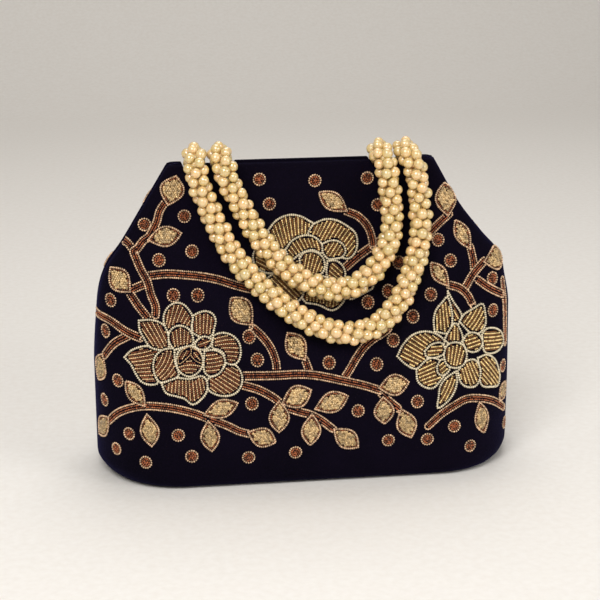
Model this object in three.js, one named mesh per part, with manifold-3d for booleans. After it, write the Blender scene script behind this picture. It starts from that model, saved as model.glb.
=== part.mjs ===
// Velvet evening bag with bead embroidery and two pearl rope handles.
// Millimetres, +Z up, front towards -Y, origin on the floor under the middle of the base.
import * as THREE from 'three';
import { mergeVertices } from 'three/addons/utils/BufferGeometryUtils.js';
import Module from 'manifold-3d';

const wasm = await Module();
wasm.setup();

// Overall size
const bagWidth = 225;
const bagHeight = 165;
const baseDepth = 88;

// Layers of a wall, from the velvet inwards
const velvetThickness = 1.4;
const stiffenerThickness = 1.0;
const liningThickness = 0.6;
const boardThickness = 2.2;
const seatGap = 0.3;

// Shape of the walls
const mouthGap = 5.2;
const neckLength = 22;
const flareFootHeight = 30;
const seamSpacing = 8;
const pleatStartHeight = 90;
const pleatDepth = 4;
const baseEdgeRadius = 5;
const baseSeam = 1;
const frontBow = 2;

// Side outlines, left and right, as shares of the height and of half the width
const leftOutlineShares = [
  [0, 0.94], [0.06, 1], [0.15, 1], [0.36, 1], [0.52, 0.982], [0.61, 0.964], [0.68, 0.925], [0.75, 0.853],
  [0.85, 0.764], [1, 0.631],
];
const rightOutlineShares = [
  [0, 0.96], [0.06, 1], [0.15, 1], [0.36, 1], [0.52, 1], [0.61, 0.978], [0.68, 0.951], [0.75, 0.862],
  [0.85, 0.747], [1, 0.618],
];

// Heights of the walls' rings below the neck, as shares of the height
const wallRingShares = [0.06, 0.15, 0.25, 0.36, 0.52, 0.61, 0.68, 0.75];

// Binding of the mouth, and the saddles that the rope ends press into it
const hemHeight = 6;
const saddleDepth = 4.6;
const saddleSlope = 3;

// Magnetic snap
const snapRadius = 7;
const snapStudRadius = 2.5;
const snapRivetRadius = 1.6;
const snapStudLength = 2;
const snapSocketThickness = 2.6;
const snapPlateThickness = 1.4;
const snapClearance = 0.8;
const washerRadius = 6;
const washerThickness = 0.8;

// Pearl rope handles
const ropeDiameter = 13.4;
const ropeGap = 1.6;
const capClearance = 0.35;
const ropeArchRadius = 7.5;
const archRise = 0.4;
const crimpRadius = 2.2;
const crimpLength = 6;
const capRadius = 5.6;
const capThickness = 0.9;
const capLift = 1.3;
const tabWidth = 8;
const tabThickness = 1;
const tabLength = 10;

// Bead embroidery
const beadHeight = 1;
const vineWidth = 5.5;
const leafWidth = 11;
const motifGap = 0.5;
const leafFullestShare = 0.5;
const flowerReach = 29;
const flowerRise = 22;
const flowerPetalWidth = 18;
const petalFullestShare = 0.6;

// Cuts run past what they cut by this much
const overrun = 2;

// Counts of flat steps in curved shapes
const arcSteps = 4;
const faceSteps = 3;
const edgeSteps = 2;
const seamSteps = 7;
const roundSides = 16;
const ropeSides = 8;
const ropeSteps = 48;
const archPoints = 4;
const leafSteps = 5;
const vineStepsPerPlace = 2;

const wallThickness = velvetThickness + stiffenerThickness + liningThickness + 2 * seatGap;
const mouthHalfDepth = mouthGap / 2 + wallThickness;
const neckHeight = bagHeight - neckLength;
const stiffenerInset = velvetThickness + seatGap;
const liningInset = stiffenerInset + stiffenerThickness + seatGap;
const boardBottom = velvetThickness + seatGap;
const baseLiningBottom = boardBottom + boardThickness + seatGap;
const wallLayerBottom = baseLiningBottom + liningThickness + seatGap;
const snapHeight = bagHeight - hemHeight - seatGap - snapRadius - seatGap;
const ropeRadius = ropeDiameter / 2;

// Materials
const velvetNavy = new THREE.MeshStandardMaterial({ color: 0x0b0a24, roughness: 0.95, metalness: 0 });
const buckramGrey = new THREE.MeshStandardMaterial({ color: 0xb9b4a8, roughness: 0.9, metalness: 0 });
const boardGrey = new THREE.MeshStandardMaterial({ color: 0x8d8778, roughness: 0.95, metalness: 0 });
const satinGold = new THREE.MeshStandardMaterial({ color: 0xb89a5c, roughness: 0.45, metalness: 0 });
const beadGold = new THREE.MeshStandardMaterial({ color: 0xc2a566, roughness: 0.4, metalness: 0.5 });
const pearlCream = new THREE.MeshStandardMaterial({ color: 0xf0d9a0, roughness: 0.25, metalness: 0 });
const brassCap = new THREE.MeshStandardMaterial({ color: 0xb08a45, roughness: 0.35, metalness: 1 });
const snapSteel = new THREE.MeshStandardMaterial({ color: 0xc9b88a, roughness: 0.3, metalness: 1 });
const ribbonNavy = new THREE.MeshStandardMaterial({ color: 0x15133a, roughness: 0.7, metalness: 0 });

// Solid geometry to manifold and back
function solidOf(geometry) {
  geometry.deleteAttribute('normal');
  geometry.deleteAttribute('uv');
  const merged = mergeVertices(geometry);
  const mesh = new wasm.Mesh({
    numProp: 3,
    vertProperties: new Float32Array(merged.attributes.position.array),
    triVerts: new Uint32Array(merged.index.array),
  });
  return new wasm.Manifold(mesh);
}

function geometryOf(solid) {
  const mesh = solid.getMesh();
  const geometry = new THREE.BufferGeometry();
  geometry.setAttribute('position', new THREE.BufferAttribute(mesh.vertProperties, 3));
  geometry.setIndex(new THREE.BufferAttribute(mesh.triVerts, 1));
  return geometry;
}

// A flat outline given as [across, up] points, pushed along Y, X or Z between two places
function prism(points, low, high, acrossAxis, upAxis, pushAxis) {
  const shape = new THREE.Shape(points.map(([across, up]) => new THREE.Vector2(across, up)));
  const geometry = new THREE.ExtrudeGeometry(shape, { depth: high - low, bevelEnabled: false, steps: 1 });
  geometry.translate(0, 0, low);
  geometry.applyMatrix4(new THREE.Matrix4().makeBasis(acrossAxis, upAxis, pushAxis));
  return solidOf(geometry);
}

const axisX = new THREE.Vector3(1, 0, 0);
const axisY = new THREE.Vector3(0, 1, 0);
const axisZ = new THREE.Vector3(0, 0, 1);
const axisFront = new THREE.Vector3(0, -1, 0);

const prismToFront = (points, nearest, furthest) => prism(points, nearest, furthest, axisX, axisZ, axisFront);
const prismAcross = (points, low, high) => prism(points, low, high, axisY, axisZ, axisX);
const prismUp = (points, low, high) => prism(points, low, high, axisX, axisY, axisZ);

function block(lowX, highX, lowY, highY, lowZ, highZ) {
  const geometry = new THREE.BoxGeometry(highX - lowX, highY - lowY, highZ - lowZ);
  geometry.translate((lowX + highX) / 2, (lowY + highY) / 2, (lowZ + highZ) / 2);
  return solidOf(geometry);
}

// Size of the bag at a height
const clampShare = (value) => Math.min(1, Math.max(0, value));
const ease = (share) => share * share * (3 - 2 * share);
const flareAt = (z) => ease(clampShare((z - flareFootHeight) / (neckHeight - flareFootHeight)));

// A smooth curve through [share, value] pairs, with slopes taken from the neighbours on both sides
function smoothValue(pairs, share) {
  const last = pairs.length - 1;
  const slopeAt = (index) => {
    const [lowShare, lowValue] = pairs[Math.max(index - 1, 0)];
    const [highShare, highValue] = pairs[Math.min(index + 1, last)];
    return (highValue - lowValue) / (highShare - lowShare);
  };
  const next = Math.max(1, pairs.findIndex(([place], index) => place >= share || index === last));
  const [startShare, startValue] = pairs[next - 1];
  const [endShare, endValue] = pairs[next];
  const span = endShare - startShare;
  const t = (share - startShare) / span;
  const rise = ease(t);
  return startValue * (1 - rise) + endValue * rise
    + span * (slopeAt(next - 1) * t * (1 - t) ** 2 - slopeAt(next) * t * t * (1 - t));
}

function halfWidthAt(z, side) {
  const outline = side < 0 ? leftOutlineShares : rightOutlineShares;
  return Math.min(1, smoothValue(outline, clampShare(z / bagHeight))) * bagWidth / 2;
}

const halfDepthAt = (z) => THREE.MathUtils.lerp(baseDepth / 2, mouthHalfDepth, flareAt(z));
const seamYAt = (z) => THREE.MathUtils.lerp(seamSpacing / 2, mouthGap / 2, flareAt(z));
const foldShareAt = (z) => clampShare((z - pleatStartHeight) / (neckHeight - pleatStartHeight));
const pleatAt = (z) => pleatDepth * ease(foldShareAt(z));
const bowAt = (z) => frontBow * Math.sin(Math.PI * clampShare(z / neckHeight));

// Rope ends stand clear of the folded gussets and of each other
const mouthHalfWidth = Math.min(halfWidthAt(bagHeight, -1), halfWidthAt(bagHeight, 1));
const foldStretch = Math.hypot(pleatAt(bagHeight), seamYAt(bagHeight)) / seamYAt(bagHeight);
const foldTip = mouthHalfWidth - pleatAt(bagHeight) - velvetThickness * foldStretch;
const frontHandleSpan = 2 * (foldTip - capRadius - capClearance);
const backHandleSpan = frontHandleSpan - 2 * (ropeDiameter + ropeGap);

// One closed outline of the bag at a height, drawn in by an inset: folded gusset, round corners, bowed faces
function ring(z, inset) {
  const halfDepth = halfDepthAt(z);
  const seamY = seamYAt(z);
  const corner = halfDepth - seamY;
  const pleat = pleatAt(z);
  const legStretch = Math.hypot(pleat, seamY) / seamY;
  const points = [];
  const quarters = [[1, 1], [-1, 1], [-1, -1], [1, -1]];
  quarters.forEach(([sideX, sideY], index) => {
    const halfWidth = halfWidthAt(z, sideX);
    const legX = halfWidth - inset * legStretch;
    const quarter = [[legX - pleat, 0], [legX, seamY - seatGap / 2]];
    for (let step = 0; step <= arcSteps; step += 1) {
      const angle = (step / arcSteps) * Math.PI / 2;
      const drawn = corner - inset;
      quarter.push([halfWidth - corner + drawn * Math.cos(angle), seamY + drawn * Math.sin(angle)]);
    }
    for (let step = faceSteps - 1; step >= 0; step -= 1) {
      const share = step / faceSteps;
      quarter.push([(halfWidth - corner) * share, halfDepth - inset + bowAt(z) * (1 - share * share)]);
    }
    const onward = index % 2 === 0 ? quarter : quarter.reverse();
    onward.pop();
    onward.forEach(([x, y]) => points.push(new THREE.Vector3(sideX * x, sideY * y, z)));
  });
  return points;
}

// One solid through a stack of rings with the same number of points, closed at its bottom and top
function loft(rings) {
  const count = rings[0].length;
  const middles = [rings[0], rings[rings.length - 1]].map((points) => new THREE.Vector3(0, 0, points[0].z));
  const places = [...rings.flat(), ...middles].flatMap((point) => point.toArray());
  const faces = [];
  const lowMiddle = rings.length * count;
  const last = lowMiddle - count;
  for (let side = 0; side < count; side += 1) {
    const next = (side + 1) % count;
    for (let level = 0; level < rings.length - 1; level += 1) {
      const low = level * count;
      const high = low + count;
      faces.push(low + side, low + next, high + next);
      faces.push(low + side, high + next, high + side);
    }
    faces.push(lowMiddle, next, side);
    faces.push(lowMiddle + 1, last + side, last + next);
  }
  const geometry = new THREE.BufferGeometry();
  geometry.setAttribute('position', new THREE.Float32BufferAttribute(places, 3));
  geometry.setIndex(faces);
  return solidOf(geometry);
}

// The whole bag as one solid, every wall drawn in by an inset, with a rounded bottom edge
function bagBody(inset, top) {
  const rings = [];
  for (let step = edgeSteps; step >= 0; step -= 1) {
    const angle = (step / edgeSteps) * Math.PI / 2;
    const radius = baseEdgeRadius - inset;
    rings.push(ring(baseEdgeRadius - radius * Math.sin(angle), baseEdgeRadius - radius * Math.cos(angle)));
  }
  const wallHeights = wallRingShares.map((share) => share * bagHeight);
  wallHeights.push(neckHeight, (neckHeight + bagHeight) / 2, bagHeight);
  wallHeights.forEach((z) => rings.push(ring(z, inset)));
  if (top > bagHeight) {
    rings.push(ring(bagHeight, inset).map((point) => point.setZ(top)));
  }
  return loft(rings);
}

// A wall layer between two insets, open at the mouth
function layer(outerInset, thickness) {
  return bagBody(outerInset, bagHeight).subtract(bagBody(outerInset + thickness, bagHeight + overrun));
}

// The slice between the two side seams, where only the gussets are
function seamSlice(clearance) {
  const heights = [-overrun];
  for (let step = 0; step <= seamSteps; step += 1) {
    heights.push((step / seamSteps) * bagHeight);
  }
  heights.push(bagHeight + overrun);
  const back = heights.map((z) => [seamYAt(Math.max(0, z)) - clearance, z]);
  const front = back.map(([y, z]) => [-y, z]).reverse();
  return prismAcross([...front, ...back], -bagWidth, bagWidth);
}

const seamCut = seamSlice(0);
const gussetSlice = seamSlice(seatGap);
const reach = bagWidth;
const halfSpace = (sideX, sideY, lowZ, highZ) => block(
  sideX > 0 ? 0 : -reach,
  sideX < 0 ? 0 : reach,
  sideY > 0 ? 0 : -reach,
  sideY < 0 ? 0 : reach,
  lowZ,
  highZ,
);
const faceOfLayer = (shell, sideY, lowZ, highZ) => (
  shell.subtract(seamCut).intersect(halfSpace(0, sideY, lowZ, highZ))
);
const gussetOfLayer = (shell, sideX, lowZ, highZ) => (
  shell.intersect(gussetSlice).intersect(halfSpace(sideX, 0, lowZ, highZ))
);

// The flat plan of the base, drawn in from the widest outline
function basePlate(inset, low, high) {
  const outline = ring(baseEdgeRadius, inset).map((point) => [point.x, point.y]);
  return prismUp(outline, low, high);
}

// Saddle under a pair of rope ends, cut through both walls
function saddleCut(sideX) {
  const nearest = backHandleSpan / 2 - ropeRadius - seatGap;
  const furthest = frontHandleSpan / 2 + ropeRadius + seatGap;
  const floor = bagHeight - saddleDepth;
  const above = bagHeight + overrun;
  const outline = [
    [sideX * (nearest - saddleSlope), above],
    [sideX * nearest, floor],
    [sideX * furthest, floor],
    [sideX * (furthest + saddleSlope), above],
  ];
  return prismToFront(outline, -reach, reach);
}

const saddles = saddleCut(-1).add(saddleCut(1));

// Turned pieces, from [radius, along] points that start and end on the axis
const turned = (points) => (
  new THREE.LatheGeometry(points.map(([radius, along]) => new THREE.Vector2(radius, along)), roundSides)
);

const bag = new THREE.Group();

function addSolid(name, solid, material) {
  const mesh = new THREE.Mesh(geometryOf(solid), material);
  mesh.name = name;
  bag.add(mesh);
}

function addGeometry(name, geometry, material) {
  addSolid(name, solidOf(geometry), material);
}

// Base: velvet cover, board and lining
const plateInset = baseEdgeRadius + baseSeam;
addSolid('base_cover', basePlate(plateInset, 0, velvetThickness), velvetNavy);
addSolid('base_board', basePlate(plateInset + seatGap, boardBottom, boardBottom + boardThickness), boardGrey);
addSolid(
  'base_lining',
  basePlate(plateInset + seatGap, baseLiningBottom, baseLiningBottom + liningThickness),
  satinGold,
);

// Walls: velvet, stiffener, lining and mouth binding, front and back
const baseOpening = basePlate(plateInset - seatGap, -overrun, velvetThickness + overrun);
const velvetShell = layer(0, velvetThickness).subtract(baseOpening);
const stiffenerShell = layer(stiffenerInset, stiffenerThickness);
const liningShell = layer(liningInset, liningThickness);
const hemBottom = bagHeight - hemHeight;

const rivetHole = snapRivetRadius + seatGap;

function cylinderAlongY(radius, lowY, highY, z) {
  const geometry = new THREE.CylinderGeometry(radius, radius, highY - lowY, roundSides);
  geometry.translate(0, (lowY + highY) / 2, z);
  return solidOf(geometry);
}

for (const [side, sideY] of [['front', -1], ['back', 1]]) {
  const panel = faceOfLayer(velvetShell, sideY, -overrun, bagHeight + overrun);
  const stiffener = faceOfLayer(stiffenerShell, sideY, wallLayerBottom, bagHeight);
  const lining = faceOfLayer(liningShell, sideY, wallLayerBottom, hemBottom - seatGap);
  const hem = faceOfLayer(liningShell, sideY, hemBottom, bagHeight + overrun);
  const washerHole = cylinderAlongY(washerRadius + seatGap, -mouthHalfDepth, mouthHalfDepth, snapHeight);
  const liningHole = cylinderAlongY(rivetHole, -mouthHalfDepth, mouthHalfDepth, snapHeight);
  addSolid(`${side}_panel`, panel.subtract(saddles), velvetNavy);
  addSolid(`${side}_stiffener`, stiffener.subtract(saddles).subtract(washerHole), buckramGrey);
  addSolid(`${side}_lining`, lining.subtract(liningHole), satinGold);
  addSolid(`${side}_hem_strip`, hem.subtract(saddles), velvetNavy);
}

// Side gussets, folded inwards towards the mouth
for (const [side, sideX] of [['left', -1], ['right', 1]]) {
  const gusset = gussetOfLayer(velvetShell, sideX, -overrun, bagHeight + overrun);
  const lining = gussetOfLayer(layer(stiffenerInset, liningThickness), sideX, wallLayerBottom, neckHeight);
  addSolid(`${side}_gusset`, gusset.subtract(saddles), velvetNavy);
  addSolid(`${side}_gusset_lining`, lining, satinGold);
}

// Magnetic snap: socket on the front wall, stud on the back wall, each riveted to a washer in its stiffener
const snapBack = mouthGap / 2 - seatGap;
const washerMiddle = mouthGap / 2 + liningThickness + seatGap + stiffenerThickness / 2;
const rivetEnd = washerMiddle + washerThickness / 2;
const socketFace = snapSocketThickness - snapBack;
const plateFace = snapBack - snapPlateThickness;
const studEnd = plateFace - snapStudLength;
const socketFloor = studEnd - seatGap;
const socketHole = snapStudRadius + snapClearance;

const socketProfile = [
  [0, -rivetEnd],
  [snapRivetRadius, -rivetEnd],
  [snapRivetRadius, -snapBack],
  [snapRadius, -snapBack],
  [snapRadius, socketFace],
  [socketHole, socketFace],
  [socketHole, socketFloor],
  [0, socketFloor],
];
const studProfile = [
  [0, studEnd],
  [snapStudRadius, studEnd],
  [snapStudRadius, plateFace],
  [snapRadius, plateFace],
  [snapRadius, snapBack],
  [snapRivetRadius, snapBack],
  [snapRivetRadius, rivetEnd],
  [0, rivetEnd],
];
for (const [name, profile] of [['snap_socket', socketProfile], ['snap_stud', studProfile]]) {
  addGeometry(name, turned(profile).translate(0, 0, snapHeight), snapSteel);
}
for (const [name, sideY] of [['snap_socket_washer', -1], ['snap_stud_washer', 1]]) {
  const low = sideY * washerMiddle - washerThickness / 2;
  const washer = cylinderAlongY(washerRadius, low, low + washerThickness, snapHeight);
  const hole = cylinderAlongY(rivetHole, low - overrun, low + washerThickness + overrun, snapHeight);
  addSolid(name, washer.subtract(hole), snapSteel);
}

// Rope ends: a cap with a crimp that sits in the mouth, and the ribbon tab under it
const capBottom = bagHeight - saddleDepth + capLift;
const capTop = capBottom + capThickness;
const crimpBottom = capBottom - crimpLength;
const ropeStart = capTop + seatGap;
const capProfile = [
  [0, crimpBottom],
  [crimpRadius, crimpBottom],
  [crimpRadius, capBottom],
  [capRadius, capBottom],
  [capRadius, capTop],
  [0, capTop],
];
const handles = [['front', -1, frontHandleSpan], ['back', 1, backHandleSpan]];
for (const [wall, sideY, span] of handles) {
  for (const [side, sideX] of [['left', -1], ['right', 1]]) {
    const x = sideX * span / 2;
    const cap = turned(capProfile).rotateX(Math.PI / 2).translate(x, 0, 0);
    addGeometry(`${wall}_handle_${side}_cap`, cap, brassCap);
    const tabY = sideY * (mouthGap / 2 - seatGap - tabThickness / 2);
    const tabZ = crimpBottom - seatGap - tabLength / 2;
    const tab = new THREE.BoxGeometry(tabWidth, tabThickness, tabLength).translate(x, tabY, tabZ);
    addGeometry(`${wall}_handle_${side}_tab`, tab, ribbonNavy);
  }
}

// Rope routes where they lie on the front, as hand-chosen [across, up] points in millimetres
const frontRopeRoute = [
  [-56, 157], [-53, 150], [-49, 139.5], [-44.5, 129.5], [-38.6, 119.3], [-31.8, 110.9], [-23.4, 102.8],
  [-15, 95.8], [-6, 89.6], [5, 84.3], [17, 81.2], [29, 82.4], [39, 87.6], [48, 96.8], [53.8, 107.2],
  [58, 117], [60.2, 127], [60.6, 137], [60, 147], [58.2, 156],
];
const backRopeRoute = [
  [-41, 158], [-36, 149], [-31.4, 139.4], [-25.6, 129], [-17.4, 118.4], [-8.3, 110.2], [1.5, 104.6],
  [12.5, 101.8], [23, 103.2], [32.6, 109], [40, 117.6], [44.4, 127], [45.4, 137], [44.6, 147], [43, 156],
];

// A rope rises from its cap, arches over the front wall and hangs against the front face
function ropeCurve(route, span) {
  const points = [];
  const arch = (sideX, angle) => new THREE.Vector3(
    sideX * span / 2,
    ropeArchRadius * (Math.cos(angle) - 1),
    ropeStart + archRise + ropeArchRadius * Math.sin(angle),
  );
  points.push(new THREE.Vector3(-span / 2, 0, ropeStart));
  for (let step = 0; step <= archPoints; step += 1) {
    points.push(arch(-1, Math.PI * step / archPoints));
  }
  for (const [x, z] of route) {
    points.push(new THREE.Vector3(x, -ropeDistanceAt(x, z), z));
  }
  for (let step = archPoints; step >= 0; step -= 1) {
    points.push(arch(1, Math.PI * step / archPoints));
  }
  points.push(new THREE.Vector3(span / 2, 0, ropeStart));
  return new THREE.CatmullRomCurve3(points, false, 'centripetal');
}

// How far in front of the bag's middle plane the rope's centre lies, square to the sloping face
function ropeDistanceAt(x, z) {
  const slope = (halfDepthAt(z + overrun) - halfDepthAt(z - overrun)) / (2 * overrun);
  const standoff = 2 * ropeArchRadius - mouthHalfDepth;
  const flat = halfWidthAt(z, x) - (halfDepthAt(z) - seamYAt(z));
  const bow = bowAt(z) * clampShare(1 - (x / flat) ** 2);
  return halfDepthAt(z) + bow + standoff * Math.hypot(1, slope);
}

for (const [name, route, span] of [
  ['front_handle_pearls', frontRopeRoute, frontHandleSpan],
  ['back_handle_pearls', backRopeRoute, backHandleSpan],
]) {
  const section = new THREE.Shape();
  for (let side = 0; side < ropeSides; side += 1) {
    const angle = (2 * Math.PI * side) / ropeSides;
    const corner = [ropeRadius * Math.cos(angle), ropeRadius * Math.sin(angle)];
    if (side === 0) {
      section.moveTo(...corner);
    } else {
      section.lineTo(...corner);
    }
  }
  const tube = new THREE.ExtrudeGeometry(section, { steps: ropeSteps, extrudePath: ropeCurve(route, span) });
  addGeometry(name, tube, pearlCream);
}

// Bead embroidery: places are shares of half the width and of the height, turned round for the back
const placeOf = ([across, up]) => new THREE.Vector2(across * bagWidth / 2, up * bagHeight);

// A leaf or petal outline from its foot to its tip, widest past its middle
function leafOutline(foot, tip, width, fullestShare) {
  const along = tip.clone().sub(foot);
  const across = new THREE.Vector2(-along.y, along.x).normalize();
  const skew = Math.log(0.5) / Math.log(fullestShare);
  const outline = [];
  for (let step = 0; step < 2 * leafSteps; step += 1) {
    const back = step >= leafSteps;
    const share = back ? 2 - step / leafSteps : step / leafSteps;
    const swell = Math.sin(Math.PI * share ** skew);
    const offset = (back ? -1 : 1) * swell * width / 2;
    outline.push(foot.clone().addScaledVector(along, share).addScaledVector(across, offset));
  }
  return outline;
}

// A band of even width along a smooth line through the given places
function bandOutline(places, width) {
  const line = new THREE.SplineCurve(places.map(placeOf));
  const steps = places.length * vineStepsPerPlace;
  const left = [];
  const right = [];
  for (let step = 0; step <= steps; step += 1) {
    const point = line.getPoint(step / steps);
    const along = line.getTangent(step / steps);
    left.push(new THREE.Vector2(point.x - along.y * width / 2, point.y + along.x * width / 2));
    right.push(new THREE.Vector2(point.x + along.y * width / 2, point.y - along.x * width / 2));
  }
  return [...left, ...right.reverse()];
}

// Vines, each a list of branches, and leaves as foot and tip places
const vineShares = {
  main_branch: {
    branches: [
      [[-0.3, 0.365], [-0.17, 0.36], [0, 0.36], [0.13, 0.34], [0.25, 0.32], [0.33, 0.3]],
      [[-0.17, 0.36], [-0.18, 0.42], [-0.22, 0.475], [-0.27, 0.51]],
      [[0.14, 0.34], [0.19, 0.385], [0.26, 0.44], [0.34, 0.46]],
    ],
    leaves: [
      [[-0.26, 0.5], [-0.36, 0.59]], [[-0.02, 0.36], [-0.11, 0.49]],
      [[0.3, 0.31], [0.45, 0.325]], [[0.31, 0.31], [0.33, 0.2]],
    ],
  },
  lower_branch: {
    branches: [[[-0.31, 0.325], [-0.19, 0.295], [-0.13, 0.26], [-0.02, 0.235], [0.07, 0.2], [0.12, 0.17]]],
    leaves: [
      [[-0.15, 0.27], [-0.02, 0.31]], [[-0.14, 0.27], [-0.17, 0.175]], [[0.01, 0.22], [0.16, 0.29]],
      [[-0.04, 0.245], [-0.02, 0.13]], [[0.1, 0.18], [0.21, 0.115]],
    ],
  },
  lower_left_vine: {
    branches: [[
      [-0.93, 0.22], [-0.84, 0.27], [-0.7, 0.28], [-0.55, 0.26], [-0.41, 0.22], [-0.3, 0.19],
    ]],
    leaves: [
      [[-0.8, 0.275], [-0.86, 0.35]], [[-0.76, 0.275], [-0.75, 0.15]], [[-0.5, 0.245], [-0.35, 0.3]],
      [[-0.5, 0.25], [-0.48, 0.13]], [[-0.32, 0.195], [-0.18, 0.15]],
    ],
  },
  upper_left_vine: {
    branches: [
      [[-0.71, 0.61], [-0.74, 0.65], [-0.79, 0.725], [-0.74, 0.785], [-0.69, 0.83], [-0.63, 0.9]],
      [[-0.75, 0.66], [-0.66, 0.67], [-0.57, 0.66], [-0.48, 0.65], [-0.38, 0.625]],
    ],
    leaves: [[[-0.76, 0.76], [-0.58, 0.79]], [[-0.65, 0.87], [-0.6, 0.96]]],
  },
  left_edge_vine: {
    branches: [[[-0.97, 0.55], [-0.92, 0.53], [-0.87, 0.505]]],
    leaves: [[[-0.92, 0.53], [-0.91, 0.68]]],
  },
  upper_right_vine: {
    branches: [
      [[0.69, 0.57], [0.75, 0.59], [0.79, 0.63], [0.8, 0.67], [0.77, 0.72]],
      [[0.75, 0.595], [0.82, 0.6], [0.88, 0.585]],
    ],
    leaves: [[[0.78, 0.71], [0.72, 0.8]], [[0.79, 0.64], [0.92, 0.7]], [[0.71, 0.575], [0.59, 0.67]]],
  },
  top_sprig: {
    branches: [[[0.19, 0.84], [0.26, 0.82], [0.3, 0.79], [0.32, 0.75], [0.29, 0.71]]],
    leaves: [[[0.2, 0.84], [0.07, 0.9]]],
  },
  lower_right_vine: {
    branches: [[[0.54, 0.18], [0.6, 0.21], [0.66, 0.24], [0.72, 0.26], [0.8, 0.26], [0.88, 0.235]]],
    leaves: [[[0.78, 0.25], [0.82, 0.12]]],
  },
};

// Flowers: place of the middle, and petals as [turn in degrees, length as a share of the reach]
const flowerShares = {
  left_flower: {
    middle: [-0.6, 0.435],
    petals: [[105, 0.88], [62, 0.88], [18, 1], [-32, 1], [-85, 0.92], [-140, 0.8], [178, 1], [140, 0.95]],
  },
  right_flower: {
    middle: [0.665, 0.41],
    petals: [[95, 1], [48, 0.9], [8, 0.9], [-40, 0.9], [-88, 0.9], [-112, 1.05], [-150, 0.85], [172, 1]],
  },
  centre_flower: {
    middle: [0.04, 0.69],
    petals: [[140, 0.9], [90, 0.8], [45, 0.9], [5, 0.75], [-40, 0.75], [-85, 0.85], [-130, 0.8], [180, 0.8]],
  },
};

const beadShell = layer(-seatGap - beadHeight, beadHeight);
for (const [wall, sideY, acrossAxis, outAxis] of [
  ['front', -1, axisX, axisFront],
  ['back', 1, axisX.clone().negate(), axisY],
]) {
  const beadFace = faceOfLayer(beadShell, sideY, 0, bagHeight);
  const motif = (outlines) => {
    const prisms = outlines.map((outline) => (
      prism(outline.map((point) => [point.x, point.y]), 0, reach, acrossAxis, axisZ, outAxis)
    ));
    return prisms.reduce((whole, part) => whole.add(part)).intersect(beadFace);
  };
  const petalOutlines = ({ middle, petals }, grown) => petals.map(([turn, lengthShare]) => {
    const centre = placeOf(middle);
    const angle = THREE.MathUtils.degToRad(turn);
    const across = (flowerReach * lengthShare + grown) * Math.cos(angle);
    const up = (flowerRise * lengthShare + grown) * Math.sin(angle);
    const tip = new THREE.Vector2(across, up).add(centre);
    return leafOutline(centre, tip, flowerPetalWidth + 2 * grown, petalFullestShare);
  });
  const flowerRoom = motif(Object.values(flowerShares).flatMap((flower) => petalOutlines(flower, motifGap)));
  for (const [name, flower] of Object.entries(flowerShares)) {
    addSolid(`${wall}_${name}`, motif(petalOutlines(flower, 0)), beadGold);
  }
  for (const [name, { branches, leaves }] of Object.entries(vineShares)) {
    const bands = branches.map((branch) => bandOutline(branch, vineWidth));
    const blades = leaves.map(([foot, tip]) => (
      leafOutline(placeOf(foot), placeOf(tip), leafWidth, leafFullestShare)
    ));
    addSolid(`${wall}_${name}`, motif([...bands, ...blades]).subtract(flowerRoom), beadGold);
  }
}

export default bag;
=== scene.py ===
import math

import bpy
import numpy as np
from mathutils import Matrix


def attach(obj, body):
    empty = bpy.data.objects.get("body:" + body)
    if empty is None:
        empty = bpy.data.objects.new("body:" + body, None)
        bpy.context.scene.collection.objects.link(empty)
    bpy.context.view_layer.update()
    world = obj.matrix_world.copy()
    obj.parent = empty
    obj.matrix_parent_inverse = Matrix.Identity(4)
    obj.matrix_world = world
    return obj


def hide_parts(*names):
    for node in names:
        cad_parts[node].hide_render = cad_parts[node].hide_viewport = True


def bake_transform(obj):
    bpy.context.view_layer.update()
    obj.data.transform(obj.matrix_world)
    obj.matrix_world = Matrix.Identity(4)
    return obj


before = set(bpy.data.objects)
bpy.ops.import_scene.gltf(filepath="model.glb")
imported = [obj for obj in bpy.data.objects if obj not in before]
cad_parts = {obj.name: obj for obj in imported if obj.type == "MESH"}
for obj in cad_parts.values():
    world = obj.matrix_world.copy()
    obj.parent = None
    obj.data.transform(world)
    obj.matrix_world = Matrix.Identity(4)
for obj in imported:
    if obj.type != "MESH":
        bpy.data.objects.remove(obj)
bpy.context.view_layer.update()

bl_info = {
    "name": "Velvet Evening Bag",
    "version": (1, 0, 0),
    "blender": (4, 5, 0),
    "location": "View3D > Sidebar > Evening Bag",
    "description": "Builds a velvet evening bag with bead embroidery and pearl rope handles",
    "category": "Add Mesh",
}

MM = 0.001
FRONT = -1
BACK = 1
PHOTO_SIZE = 600


# Sizes and colours that a user would change

def length(name, description, millimetres):
    """A length in metres, given here in millimetres."""
    return bpy.props.FloatProperty(
        name=name, description=description, default=millimetres * MM, min=0.0, unit="LENGTH", precision=4)


def linear(hex_colour):
    """Turns an sRGB hex colour such as '#0b0a24' into linear red, green and blue."""
    values = [int(hex_colour[index:index + 2], 16) / 255 for index in (1, 3, 5)]
    return [value / 12.92 if value <= 0.04045 else ((value + 0.055) / 1.055) ** 2.4 for value in values]


def colour(name, description, hex_colour):
    """A colour, given here as sRGB hex."""
    return bpy.props.FloatVectorProperty(name=name, description=description, default=linear(hex_colour),
                                         min=0.0, max=1.0, size=3, subtype="COLOR")


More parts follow.
